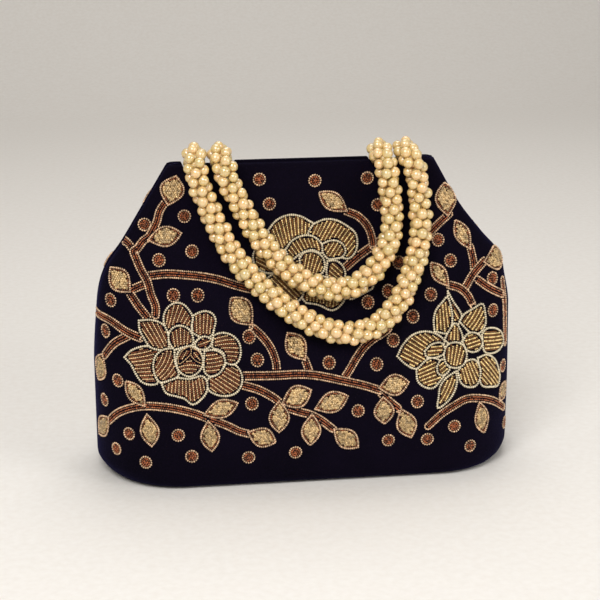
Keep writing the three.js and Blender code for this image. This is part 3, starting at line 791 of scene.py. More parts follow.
class BAG_OT_metal_and_ribbon(bpy.types.Operator):
    """Builds the ribbon tabs of the ropes, and gives the snap and the rope caps their metal"""
    bl_idname = "evening_bag.metal_and_ribbon"
    bl_label = "Snap, caps and tabs"

    def execute(self, context):
        brass = worn_metal("turned_polished_brass", linear("#b58a3e"), 0.2)
        plated = worn_metal("stamped_plated_steel", linear("#c9b88a"), 0.3)
        for name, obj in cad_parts.items():
            if name.endswith("_cap") or name.startswith("snap_"):
                obj.data.materials.clear()
                obj.data.materials.append(brass if name.endswith("_cap") else plated)
        ribbon = woven("grosgrain_ribbon", linear("#131136"), linear("#201c52"), 0.8 * MM, 0.7)
        for wall, facing, span, body in (("front", FRONT, FRONT_SPAN, "bag_body"),
                                         ("back", BACK, BACK_SPAN, "back_wall")):
            for side, across in (("left", -span / 2), ("right", span / 2)):
                tab = ribbon_tab(f"ribbon_tab_{wall}_{side}", across, facing * TAB_OUTWARD, TAB_TOP, ribbon)
                carry(tab, f"{wall}_handle_{side}_tab", body)
        return {"FINISHED"}


# Pearl ropes. The spacings and the core's size are shares of a pearl's diameter, and a ball is its segments
# and rings. Each end is cut into slices where it arches over the edge: where the first starts, how long one
# is, and how many there are.

ROPE_START = 2.1 * MM
ARCH_RADIUS = 7.5 * MM
ARCH_RISE = 0.4 * MM
ROPE_STRANDS = 4
BEND_START = 4 * MM
BEND_SLICE = 2.6 * MM
BEND_SLICES = 8
STRAND_SPACING = 0.985
CORE_SPACING = 0.75
CORE_SIZE = 0.8
PEARL_JITTER = 0.12 * MM
PEARL_BALL = (14, 9)
BEAD_BALL = (6, 3)

# How far each arch leans to the right at its top, left arch and right arch
FRONT_LEANS = (-0.4 * MM, -4 * MM)
BACK_LEANS = (-2.2 * MM, -2.6 * MM)

# Routes of the ropes where they lie on the front: millimetres across and up
FRONT_ROPE_ROUTE = [
    (-56, 157), (-53, 150), (-49, 139.5), (-44.5, 129.5), (-38.6, 119.3), (-31.8, 110.9), (-23.4, 102.8),
    (-15, 95.8), (-6, 89.6), (5, 84.3), (17, 81.2), (29, 82.4), (39, 87.6), (48, 96.8), (53.8, 107.2),
    (58, 117), (60.2, 127), (60.6, 137), (60, 147), (58.2, 156),
]
BACK_ROPE_ROUTE = [
    (-41, 158), (-36, 149), (-31.4, 139.4), (-25.6, 129), (-17.4, 118.4), (-8.3, 110.2), (1.5, 104.6),
    (12.5, 101.8), (23, 103.2), (32.6, 109), (40, 117.6), (44.4, 127), (45.4, 137), (44.6, 147), (43, 156),
]


def smooth_line(points, spacing):
    """Even places along a centripetal Catmull-Rom curve through the points."""
    points = np.asarray(points, float)
    padded = np.concatenate([2 * points[:1] - points[1:2], points, 2 * points[-1:] - points[-2:-1]])
    knots = run_along(padded, 0.5)
    fine = []
    for index in range(1, len(padded) - 2):
        t0, t1, t2, t3 = knots[index - 1:index + 3]
        t = np.linspace(t1, t2, 16, endpoint=False)[:, None]
        p0, p1, p2, p3 = padded[index - 1:index + 3]
        a1 = (t1 - t) / (t1 - t0) * p0 + (t - t0) / (t1 - t0) * p1
        a2 = (t2 - t) / (t2 - t1) * p1 + (t - t1) / (t2 - t1) * p2
        a3 = (t3 - t) / (t3 - t2) * p2 + (t - t2) / (t3 - t2) * p3
        b1 = (t2 - t) / (t2 - t0) * a1 + (t - t0) / (t2 - t0) * a2
        b2 = (t3 - t) / (t3 - t1) * a2 + (t - t1) / (t3 - t1) * a3
        fine.append((t2 - t) / (t2 - t1) * b1 + (t - t1) / (t2 - t1) * b2)
    return resample(np.concatenate(fine + [padded[-2:-1]]), spacing)


def run_along(line, power=1.0):
    """Length from the start of a line to each of its points, each step raised to a power."""
    return np.concatenate([[0], np.cumsum(np.linalg.norm(np.diff(line, axis=0), axis=1) ** power)])


def resample(line, spacing):
    """Places at an even spacing along a line of points, first and last kept."""
    run = run_along(line)
    count = max(2, int(round(run[-1] / spacing)) + 1)
    places = np.linspace(0, run[-1], count)
    return np.stack([np.interp(places, run, line[:, axis]) for axis in range(line.shape[1])], axis=-1)


def rope_distance(form, x, z):
    """How far in front of the middle plane a rope's centre lies, square to the sloping face."""
    step = 2 * MM
    slope = (form.half_depth(z + step) - form.half_depth(z - step)) / (2 * step)
    flat = form.half_width(z, np.sign(x)) - (form.half_depth(z) - form.seam(z))
    bow = form.bow(z) * np.clip(1 - (x / flat) ** 2, 0, 1)
    return form.half_depth(z) + bow + (2 * ARCH_RADIUS - MOUTH_HALF_DEPTH) * np.hypot(1, slope)


def rope_line(form, route, span, leans):
    """The rope's centre line: up from its cap, over the edge in a half circle that leans a little to one
    side, and along the front."""
    start = form.height - ROPE_START
    turns = np.linspace(0, math.pi, 5)
    arches = [np.stack([across + lean * np.sin(turns), ARCH_RADIUS * (np.cos(turns) - 1),
                        start + ARCH_RISE + ARCH_RADIUS * np.sin(turns)], axis=-1)
              for across, lean in ((-span / 2, leans[0]), (span / 2, leans[1]))]
    hanging = [(x, -rope_distance(form, x, z), z) for x, z in np.array(route) * MM]
    points = [(-span / 2, 0, start), *arches[0], *hanging, *arches[1][::-1], (span / 2, 0, start)]
    return smooth_line(points, 1 * MM)


def pearl_rope(form, name, route, span, leans, sizes, material, seed):
    """Strands of pearls twisted round one line, each turned on by its share of a turn, every other one moved
    on by half a pearl, and a straight strand of small pearls inside them.

    Returns the line that the rope follows where it hangs free, and the rope's pieces: its ends in the caps,
    the slices of it that bend over the edge of the mouth, and the free rope."""
    random = np.random.default_rng(seed)
    line = rope_line(form, route, span, leans)
    tangent = unit(np.gradient(line, axis=0))
    normal = np.zeros_like(line)
    current = np.array([1.0, 0.0, 0.0])
    for index in range(len(line)):
        current = unit(current - tangent[index] * (current @ tangent[index]))
        normal[index] = current
    binormal = np.cross(tangent, normal)
    run = run_along(line)
    pearl = sizes.pearl_diameter
    full = (sizes.rope_diameter - pearl) / 2
    ends = np.minimum(run, run[-1] - run)
    radius = full * (0.6 + 0.4 * ease(ends / (5 * MM)))
    centres, axes, stretch, places_along = [], [], [], []
    for strand in range(ROPE_STRANDS + 1):
        core = strand == ROPE_STRANDS
        turn = 2 * math.pi * (run / sizes.rope_twist + strand / ROPE_STRANDS)
        path = line + (radius * (0 if core else 1))[:, None] * (
            np.cos(turn)[:, None] * normal + np.sin(turn)[:, None] * binormal)
        first = pearl * (0.45 + 0.5 * (strand % 2))
        kept = (run > first) & (run < run[-1] - pearl * 0.45)
        pearls = resample(path[kept], pearl * (CORE_SPACING if core else STRAND_SPACING))
        places_along.append(np.linspace(run[kept][0], run[kept][-1], len(pearls)))
        stretch.append(np.full(len(pearls), CORE_SIZE if core else 1.0))
        along = unit(np.gradient(pearls, axis=0))
        across = unit(np.cross(along, [0.3, 0.5, 0.81]))
        centres.append(pearls)
        axes.append(np.stack([along, across, np.cross(along, across)], axis=1))
    centres = np.concatenate(centres)
    centres = centres + random.normal(0, PEARL_JITTER, centres.shape)
    axes = np.concatenate(axes)
    radii = pearl / 2 * np.concatenate(stretch) * random.uniform(0.92, 1.05, len(centres))
    radii = np.broadcast_to(radii[:, None], (len(centres), 3))
    template = ball_template(*PEARL_BALL)
    tones = random.uniform(0, 1, len(centres))
    places_along = np.concatenate(places_along)
    to_end = np.minimum(places_along, run[-1] - places_along)
    slices = np.clip(np.floor((to_end - BEND_START) / BEND_SLICE), -1, BEND_SLICES).astype(int)
    pieces = []
    for index in range(-1, BEND_SLICES + 1):
        chosen = slices == index
        places, triangles = scatter(template, centres[chosen], axes[chosen], radii[chosen])
        tone = np.repeat(tones[chosen], len(template[0]))
        part = "ends" if index < 0 else f"bend_{index + 1}"
        piece_name = name if index == BEND_SLICES else f"{name}_{part}"
        pieces.append(add_mesh(piece_name, places, triangles, material, tone=tone))
    free = ends > BEND_START + BEND_SLICE * BEND_SLICES
    return line[free], pieces


def turn_by_share(piece):
    """Bakes a piece's transform into its places. It is not made to turn with a handle."""
    places = np.empty(3 * len(piece.data.vertices), dtype=np.float32)
    piece.data.vertices.foreach_get("co", places)
    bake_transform(piece)


class BAG_OT_pearl_ropes(bpy.types.Operator):
    """Builds the two twisted pearl ropes"""
    bl_idname = "evening_bag.pearl_ropes"
    bl_label = "Pearl ropes"

    def execute(self, context):
        sizes = context.scene.bag_sizes
        form = BagForm(sizes)
        pearl = coated_pearl("coated_pearl", context.scene.bag_colours)
        for name, route, span, leans, seed in (("front", FRONT_ROPE_ROUTE, FRONT_SPAN, FRONT_LEANS, 3),
                                               ("back", BACK_ROPE_ROUTE, BACK_SPAN, BACK_LEANS, 7)):
            line, pieces = pearl_rope(form, f"pearl_rope_{name}", route, span, leans, sizes, pearl, seed)
            ends, *bends, rope = pieces
            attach(ends, "bag_body")
            for index, piece in enumerate(bends):
                turn_by_share(piece)
            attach(rope, f"{name}_handle")
            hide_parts(f"{name}_handle_pearls")
        return {"FINISHED"}


# Embroidery. The lists below are places in pixels of the photo, read one by one.

# Stripes of each flower: finish and radius of the raised rows and of the low rows, as shares of the pitch
STRIPES = {
    "left_flower": ("gold", 0.45, "maroon", 0.42),
    "right_flower": ("straw", 0.5, "brown", 0.36),
    "centre_flower": ("straw", 0.44, "brown", 0.38),
}

# Petals of each flower, those in front first: outline, direction of the bead rows in degrees, how much
# the rows spread out and bend along that direction, and the strength of the outline where it is thinner
FLOWERS = {
    "left_flower": [
        ([(178, 358), (183, 350), (190, 347), (191, 353), (185, 360), (179, 364)], 60, 0, 0, 0.5),
        ([(190.5, 348), (198, 351), (202, 358), (202, 363), (196, 361), (190.5, 354)], -50, 0, 0, 0.5),
        ([(175.7, 361), (179, 351), (189.4, 346.1), (199.5, 351), (203.1, 361), (199.5, 371), (189.4, 376.7),
          (179, 371)], 5, 0.2, -0.2),
        ([(174.4, 350), (169.5, 343), (168.6, 334.8), (172.8, 328), (180.2, 325.7), (188.5, 329),
          (192.7, 336.5), (192.7, 344.8), (184, 347)], 92, 0.3, 0),
        ([(174.4, 348), (162.8, 350), (155.4, 356.4), (153.2, 366.3), (155.4, 376.3), (160.3, 382.4),
          (169.5, 380.4), (178.6, 375.5), (175, 362)], 60, 0.15, 0.25),
        ([(204.3, 351.4), (212.6, 350), (220.9, 353), (225, 360), (223.3, 368), (217.5, 374.6),
          (209.3, 376.3), (204.3, 371.3)], 8, 0, 0.1),
        ([(212.6, 339.8), (204.3, 336.5), (196, 341.5), (195.2, 346.4), (201, 349.8), (209.3, 347.3)],
         20, 0, 0),
        ([(161.2, 383), (166.1, 393), (176.1, 396.2), (184.4, 398.7), (192.7, 404.5), (201, 399.5),
          (206.8, 391.2), (206.8, 381.3), (202.6, 376.3), (189, 379), (176.1, 378)], 92, -0.25, 0),
        ([(168.6, 334), (164.5, 325), (163.6, 316.6), (167.8, 307.5), (176.1, 302.8), (183.5, 304.6),
          (189.4, 310.8), (192.7, 317.4), (191.8, 325), (191, 331.5), (180, 327)], 68, 0.35, 0),
        ([(192.7, 333), (191.8, 318), (197.6, 313.3), (205.9, 311.3), (212.6, 314), (215.6, 320),
          (214.2, 328), (211.7, 335.7), (202.6, 338)], 88, 0.15, 0),
        ([(138.8, 320.7), (149.6, 320), (159.5, 322.4), (166.1, 328), (168.6, 340), (167.8, 350),
          (159.5, 350), (150.4, 347.3), (143.7, 338), (139.6, 330)], 120, 0.2, 0),
        ([(124.7, 357.2), (131.3, 350.6), (142.9, 346.4), (154.5, 347.3), (159.5, 351.4), (155.4, 363),
          (154.5, 373), (157.8, 383), (149.6, 384.6), (141.3, 381.3), (135.5, 373), (131.3, 364.7)],
         8, 0.15, 0),
        ([(213.4, 335.7), (220.9, 333), (230.8, 334.8), (238.3, 341.5), (240.8, 351.4), (238.3, 361.4),
          (232.5, 364.7), (224.2, 361.4), (224.2, 354.7), (219.2, 350), (212.6, 348)], 2, 0.2, -0.1),
        ([(225.8, 363), (235.8, 365.5), (241.6, 374.6), (241.6, 384.6), (235.8, 393), (225.8, 396),
          (215.9, 394.5), (208.4, 389.6), (207.6, 379.6), (215.9, 374.6), (223.3, 368)], -33, 0.1, 0),
    ],
    "right_flower": [
        ([(443.4, 355.2), (446.5, 345.8), (455, 342.3), (463.5, 345.8), (466.6, 355.2), (463.5, 364.6),
          (455, 368.1), (446.5, 364.6)], 80, 0.2, 0),
        ([(462.7, 342.3), (466, 335), (472.5, 332.5), (479, 335), (482.3, 342.3), (479, 349.5),
          (472.5, 352.1), (466, 349.5)], 20, 0, 0),
        ([(444.3, 339.8), (448.4, 331.5), (455.1, 323.2), (460.9, 331.5), (462.5, 339.8), (459.2, 344),
          (449.3, 344)], 88, -0.2, 0),
        ([(436.8, 366.3), (441, 359.7), (447.6, 361.4), (449.3, 369.7), (442.6, 375.5), (437.6, 373)],
         40, 0, 0),
        ([(424.4, 351.4), (431, 344.8), (441, 343), (445.1, 349.8), (442.6, 354.7), (432.7, 358),
          (426, 356.4)], 5, 0, 0),
        ([(397, 356.4), (402.8, 344.8), (412.8, 334.8), (426, 331.5), (437.6, 334.8), (444.3, 341.5),
          (441, 348), (424.4, 361.4), (416.1, 368.8), (406.1, 364.7)], -32, -0.2, 0),
        ([(416.1, 369.7), (422.7, 361.4), (432.7, 358), (441, 361.4), (445.9, 371.3), (441, 379.6),
          (432.7, 388), (424.4, 387), (417.7, 381.3)], 22, 0.1, 0),
        ([(455.9, 371.3), (456.7, 383), (452.6, 394.5), (445.9, 402.8), (437.6, 407.8), (438.5, 396.2),
          (440.1, 386.2), (445.9, 378)], 65, 0, 0.1),
        ([(457.5, 371.3), (465.8, 361.4), (474.1, 359.7), (479.1, 366.3), (479.9, 376.3), (475.8, 385.4),
          (467.5, 387), (460.9, 383)], 110, -0.2, 0),
        ([(477.4, 358), (485.7, 354.7), (493.2, 358), (497.3, 366.3), (499, 376.3), (497.3, 384.6),
          (490.7, 386.6), (481.6, 385.4), (479.1, 378), (479.1, 368)], -52, 0, 0),
        ([(481.6, 334.8), (485.7, 329), (494, 328), (500.7, 332.3), (502.7, 340.6), (499.8, 348),
          (492.4, 353), (484.1, 351.4)], 8, 0, 0),
        ([(459.2, 321.6), (463.3, 315), (472.5, 309), (482.4, 304), (484.9, 313.3), (484.9, 325),
          (479.1, 333), (470.8, 333)], 58, 0, 0.1),
        ([(434.3, 331.5), (433.5, 320), (436, 310), (442.6, 301.7), (447, 297), (451, 308), (452, 322),
          (448, 333)], 95, -0.2, 0),
        ([(447.6, 291.2), (454, 303), (459, 310), (461.7, 316.6), (456.7, 325), (451, 322), (448, 304)],
         118, 0, 0),
    ],
    "centre_flower": [
        ([(299.3, 258.7), (303.3, 253.3), (310, 251.3), (318, 253.3), (323.3, 258.7), (324.7, 266.7),
          (322, 273.3), (312, 277), (302, 272)], 75, 0.2, 0),
        ([(327.3, 261.3), (335.3, 260.7), (342, 265.3), (345.3, 273.3), (343.3, 280), (336, 283),
          (327, 276)], -42, 0, 0),
        ([(322, 244), (330, 240.7), (338, 241.3), (344, 246), (345.3, 252), (342, 257.3), (335.3, 258.7),
          (328, 259), (323, 253)], 58, 0, 0),
        ([(285.3, 250), (291.3, 241.3), (299.3, 236.7), (308.7, 235.3), (316.7, 238.7), (322, 245.3),
          (322, 253.3), (312, 250), (300, 254), (291, 260)], 118, 0.3, 0),
        ([(290, 257), (298, 255), (303, 263), (305, 272), (301, 280), (292, 281), (285, 274), (284, 264)],
         150, 0, 0),
        ([(303, 277), (312, 278), (322, 276), (330, 281), (329, 290), (319, 294), (308, 291), (301, 285)],
         -70, 0, 0),
        ([(313, 224), (324.7, 219.3), (335.3, 220), (346, 225.3), (355.3, 233.3), (357.3, 242.7),
          (355.3, 252), (348.7, 258.7), (338, 256), (326, 248), (314, 241), (308, 234)], 58, 0.2, 0),
        ([(268, 230), (276.7, 220), (288.7, 214.9), (300.7, 216.3), (308.7, 220.7), (316, 226), (314, 238),
          (302, 240), (291, 244), (284, 250), (272, 244)], 98, 0.35, 0),
        ([(289, 250), (279, 243), (268, 241), (258, 246), (253, 256), (256, 267), (266, 273), (278, 272),
          (289, 268)], -28, 0, 0),
        ([(288, 270), (276, 273), (267, 279), (265, 289), (272, 297), (284, 302), (295, 303), (303, 295),
          (302, 284), (296, 275)], -45, 0, 0),
        ([(306, 303), (318, 305), (332, 310.5), (340, 306), (345, 297), (343, 286), (332, 280), (316, 282),
          (304, 288), (301, 296)], 85, 0.2, 0),
        ([(342, 278), (352, 278), (363, 281), (373, 287), (366, 292), (357.6, 296.5), (350, 299),
          (343, 293)], -20, 0, 0),
    ],
}

# Vines: centre lines, and leaves from foot to tip, each with its width as a share of a common leaf's
VINES = {
    "main_branch": (
        [[(242, 376), (276, 375.5), (300, 374.3), (316.6, 375.5), (341.5, 380.4), (366.3, 386), (380, 390.4)],
         [(343, 380), (350, 369), (357, 357), (365, 346), (373, 339), (381, 334), (388, 329)],
         [(310, 374), (308, 368), (305, 360)],
         [(277, 375), (275.6, 361), (270.6, 348), (262, 336.5), (253, 328)],
         [(378, 390), (388, 400), (399, 409)]],
        [((252, 325), (231, 298), 1.3), ((305, 360), (287.5, 333), 1.15), ((379, 388), (408.6, 382), 1.1),
         ((383, 397), (384.6, 423.5), 1.1), ((401, 409), (411, 437), 1.1)]),
    "lower_branch": (
        [[(242, 385), (259, 390), (274, 398), (284, 406), (300.5, 412), (310, 414.4), (320, 419.4),
          (333, 429)]],
        [((282, 404), (311, 390), 1.15), ((279, 401), (279, 432), 1.1), ((315, 409), (348, 396), 1.1),
         ((312, 414), (310, 445), 1.05), ((334, 429), (358, 447), 1.1)]),
    "lower_left_vine": (
        [[(109, 421), (118, 413), (131, 408), (146, 406), (163, 407), (179, 409.5), (196, 414), (209, 419),
          (226, 425), (239, 431), (250, 434)]],
        [((145, 406), (126, 381), 0.95), ((147, 414), (152, 446), 1.05), ((204, 415), (238, 403), 0.95),
         ((208, 421), (212, 451), 1), ((248, 432), (275.6, 442), 1.1), ((109, 417), (98, 439), 1.1)]),
    "upper_left_vine": (
        [[(155.6, 315), (155.6, 307), (151, 295), (147, 281), (141, 270), (135.5, 257), (133.6, 251),
          (137, 249), (143, 241), (149, 236.5), (152.7, 230), (156.6, 222), (159.4, 211.6), (164, 204),
          (168, 200)],
         [(147, 276), (166, 274), (185, 275), (204, 277), (219, 280), (233, 284.5),
          (246, 288), (258, 290), (267, 290)],
         [(135, 253), (128, 243), (123, 239)],
         [(147, 317), (139, 307), (133.6, 299), (130, 292), (138, 287), (146, 284)]],
        [((148, 240), (181.4, 233), 1.05), ((168, 205), (176, 176), 1.3), ((130, 292), (111, 267.6), 1.2)]),
    "left_edge_vine": (
        [[(97, 311), (110, 320), (126, 331.5), (140, 338)],
         [(105, 355), (115, 343), (128, 336)]],
        [((103, 354), (99, 379), 1.2)]),
    "upper_right_vine": (
        [[(448, 284.5), (460.5, 288.6), (468, 296), (472, 304)],
         [(484, 261), (473, 274), (465, 288)],
         [(470, 247), (473, 260), (474, 270)],
         [(478, 280), (489.5, 288), (502, 294)],
         [(449, 214), (440, 222), (430, 232)],
         [(502, 280), (504, 300), (504.5, 322), (504.5, 342)]],
        [((448, 216), (443.9, 182.5), 1.2), ((470, 249), (455, 220), 0.85), ((484, 262), (501, 249), 1.2),
         ((448.5, 286), (430.6, 262.5), 0.8)]),
    "top_sprig": (
        [[(346, 211), (358.6, 216.6), (368, 227), (372, 238.6), (373, 246)],
         [(346, 267), (358.6, 256), (374, 245), (380, 240.5)]],
        [((347, 211), (318.8, 192), 1)]),
    "lower_right_vine": (
        [[(428, 426), (440, 415), (454, 405.5), (466, 399), (477, 398), (491, 400), (503, 407)]],
        [((479, 402), (484, 434.6), 1), ((499, 401), (505, 381), 1)]),
}

DISCS = [
    (259.3, 179.3), (314.8, 180.5), (269.3, 203.8), (184.4, 216.2), (192, 251.4), (158.9, 260.2),
    (173.4, 295.4), (197.7, 295.4), (110.7, 300), (105.6, 330.7), (118, 380.4), (104.8, 399.5),
    (129.3, 433.5), (116.7, 448.4), (145.9, 462.2), (178.2, 435.2), (191.8, 456.2), (248.6, 457.2),
    (295.5, 452.2),
    (249, 336.8), (257.3, 360), (251.9, 403.6), (412.8, 316.5), (393.2, 340.3), (329, 362.7), (376.6, 364.3),
    (417.4, 401.5), (358, 410.8), (388.2, 440), (427.2, 439), (454.2, 426), (470, 445.6), (492.9, 310.3),
    (502.5, 365.4), (503.7, 422), (367.2, 177.8), (377.7, 204.6), (438, 239.8), (450.4, 260.6),
    (430.7, 294.5), (367.8, 302.3), (492.5, 278.2), (398.8, 262.5), (388.3, 291.2), (144.5, 224.5),
]

# The longest leaf, and the share across at which the side seam ends the beadwork
LONGEST_LEAF = 18.5 * MM
LAST_SHARE = 0.985

# Each kind of bead: its material and colour, how metallic and how rough, its darkest and palest strength
BEADS = {
    "pale": ("silver_lined_glass_bead", "pale_bead", 0.3, 0.35, 0.8, 1.15),
    "sand": ("rose_gold_lined_glass_bead", "sand_bead", 0.45, 0.3, 0.55, 1.3),
    "straw": ("pale_gold_lined_glass_bead", "straw_bead", 0.5, 0.28, 0.6, 1.3),
    "gold": ("gold_lined_glass_bead", "gold_bead", 0.55, 0.28, 0.65, 1.3),
    # Copper's wide spread is partly each bead's own tone and partly painted glints: its palest beads stand in
    # for sparkles
    "copper": ("copper_lined_glass_bead", "copper_bead", 0.55, 0.3, 0.35, 2.4),
    "brown": ("brown_glass_bead", "brown_bead", 0.4, 0.35, 0.5, 1.3),
    "maroon": ("maroon_glass_bead", "maroon_bead", 0.4, 0.35, 0.6, 1.7),
    # Stone's spread is partly each chip's own tone and partly painted light: dark chips as painted shade,
    # pale chips as painted highlights
    "stone": ("foil_backed_stone", "leaf_stone", 0.35, 0.2, 0.5, 1.5),
}
FINISHES = tuple(BEADS)

# A disc's rings from outside in: share of its radius, number of beads and their kind
DISC_RINGS = [(1.0, 16, "sand"), (0.64, 11, "copper"), (0.3, 5, "copper"), (0.0, 1, "copper")]

# Sizes of the beadwork as shares of the bead pitch: a STEP is the way from one bead of a row to the next, a
# CLEARANCE is kept free beside an outline that is sewn already
BEAD_HALF_LENGTH = 0.52
PETAL_OUTLINE_RADIUS = 0.62
PETAL_CLEARANCE = 0.95
PETAL_ROW_GAP = 0.8
PETAL_STEP = 0.9
LEAF_STEP = 0.9
LEAF_OUTLINE_RADIUS = 0.56
LEAF_SHADOW_INSET = 0.85
LEAF_SHADOW_RADIUS = 0.26
CHIP_GAP = 1.05
CHIP_JITTER = 0.12
CHIP_CLEARANCE = 1.15
CHIP_HALF_LENGTH = 0.85
CHIP_RADIUS = 0.7
VINE_OUTLINE_STEP = 0.95
VINE_OUTLINE_RADIUS = 0.48
VINE_FILL_STEP = 0.85
VINE_FILL_RADIUS = 0.42
CLEARANCE_OF_PETALS = 0.8
CLEARANCE_OF_LEAVES = 0.7
CLEARANCE_OF_VINES = 0.5

# Where the two rows inside a vine run, as shares of its half width
VINE_FILL_ROWS = (-0.36, 0.36)


def inside(points, outline):
    """Which points lie inside a closed outline: a ray to the right crosses it an odd number of times."""
    start, end = outline, np.roll(outline, -1, axis=0)
    x, y = points[:, 0:1], points[:, 1:2]
    spans = (start[:, 1] > y) != (end[:, 1] > y)
    rise = np.where(end[:, 1] == start[:, 1], 1e-12, end[:, 1] - start[:, 1])
    crossing = start[:, 0] + (y - start[:, 1]) / rise * (end[:, 0] - start[:, 0])
    return np.count_nonzero(spans & (x < crossing), axis=1) % 2 == 1


def distance_to(points, line, closed=False):
    """Shortest distance from each point to a line of points."""
    start = line if closed else line[:-1]
    end = np.roll(line, -1, axis=0) if closed else line[1:]
    along = end - start
    away = points[:, None, :] - start[None]
    share = np.clip(np.sum(away * along, axis=-1) / np.maximum(np.sum(along ** 2, axis=-1), 1e-18), 0, 1)
    return np.min(np.linalg.norm(away - share[..., None] * along[None], axis=-1), axis=1)


def clear_of(points, outlines, gap=0.0):
    """Which points lie outside every closed outline and more than a gap away from it."""
    keep = np.ones(len(points), bool)
    for outline in outlines:
        keep &= ~inside(points, outline)
        if gap:
            keep &= distance_to(points, outline, closed=True) > gap
    return keep


def moved_inwards(outline, inset):
    """A closed outline moved inwards by an inset, along the normals of its places."""
    along = unit(np.roll(outline, -1, axis=0) - np.roll(outline, 1, axis=0))
    area = np.sum(outline[:, 0] * np.roll(outline[:, 1], -1) - np.roll(outline[:, 0], -1) * outline[:, 1])
    inward = np.stack([-along[:, 1], along[:, 0]], axis=1) * np.sign(area)
    return outline + inward * inset


class Beadwork:
    """Collects beads on the flat pattern of the cloth, and sews them on a wall. Where a length below has the
    bead pitch in it, its number is a share of the way from one bead to the next.

    A bead is its place (length from the middle, height), direction, half length, radius, lift and finish."""

    def __init__(self, sizes):
        self.pitch = sizes.bead_pitch
        self.rows = []

    def add(self, places, turns, half_length, radius, finish, lift=0.35, flat=1.0):
        """Beads at places, turned by angles. The lift is a share of the radius, and so is the flatness."""
        count = len(places)
        self.rows.append(np.column_stack([
            places, np.broadcast_to(turns, count), np.full(count, half_length), np.full(count, radius),
            np.full(count, lift * radius), np.full(count, flat), np.full(count, FINISHES.index(finish))]))

    def add_line(self, line, spacing, radius, finish, keep, lift, closed=False):
        """A row of beads along a line, leaving out those that keep refuses."""
        if closed:
            line = np.concatenate([line, line[:1]])
        places = resample(line, spacing)
        if closed:
            places = places[:-1]
        along = np.gradient(places, axis=0)
        turns = np.arctan2(along[:, 1], along[:, 0])
        chosen = keep(places)
        self.add(places[chosen], turns[chosen], spacing * BEAD_HALF_LENGTH, radius, finish, lift)

    def sew(self, form, name, facing, materials, seed):
        """Makes one mesh of all the beads on the front or the back wall."""
        random = np.random.default_rng(seed)
        beads = np.concatenate(self.rows)
        share = beads[:, 0] / form.half_girth(beads[:, 1], np.sign(beads[:, 0]))
        on_wall = np.abs(share) < LAST_SHARE
        share, beads = share[on_wall], beads[on_wall]
        along, z, turn, half_length, radius, lift, flat, finish = beads.T
        # Seen from behind, the direction across runs the other way, so the pattern is the same to the eye
        if facing > 0:
            share, turn = -share, math.pi - turn
        place, across, up, normal = form.frame_on_wall(share, z, facing)
        wobble = random.normal(0, 0.07, len(beads))
        cosine, sine = np.cos(turn + wobble)[:, None], np.sin(turn + wobble)[:, None]
        axis = across * cosine + up * sine
        side = np.cross(normal, axis)
        centre = place + normal * lift[:, None]
        jitter = random.uniform(0.93, 1.05, (3, len(beads)))
        radii = np.stack([half_length * jitter[0], radius * jitter[1], radius * flat * jitter[2]], axis=1)
        template = ball_template(*BEAD_BALL)
        places, triangles = scatter(template, centre, np.stack([axis, side, normal], axis=1), radii)
        tone = np.repeat(random.uniform(0, 1, len(beads)), len(template[0]))
        used = sorted(set(finish.astype(int)))
        lookup = np.zeros(len(FINISHES), int)
        lookup[used] = np.arange(len(used))
        indices = np.repeat(lookup[finish.astype(int)], len(template[1]))
        return add_mesh(name, places, triangles, [materials[FINISHES[index]] for index in used],
                        indices=indices, tone=tone)


def petal_line(form, outline):
    """The smoothed outline of a petal on the flat pattern."""
    corners = on_cloth(form, outline)
    return smooth_line(np.concatenate([corners, corners[:1]]), 0.5 * MM)[:-1]


def leaf_line(form, foot, tip, width):
    """A leaf's outline: its half width swells from foot to tip as a sine, a little fuller near the tip."""
    foot, tip = on_cloth(form, [foot, tip])
    run = np.linspace(0, 1, 24)[:, None]
    along = tip - foot
    along *= min(1, LONGEST_LEAF / np.linalg.norm(along))
    across = np.array([-along[1], along[0]]) / np.linalg.norm(along)
    half = width / 2 * np.sin(math.pi * run ** 1.1).clip(0) ** 0.92
    left = foot + along * run + across * half
    right = foot + along * run - across * half
    return np.concatenate([left, right[::-1][1:-1]])


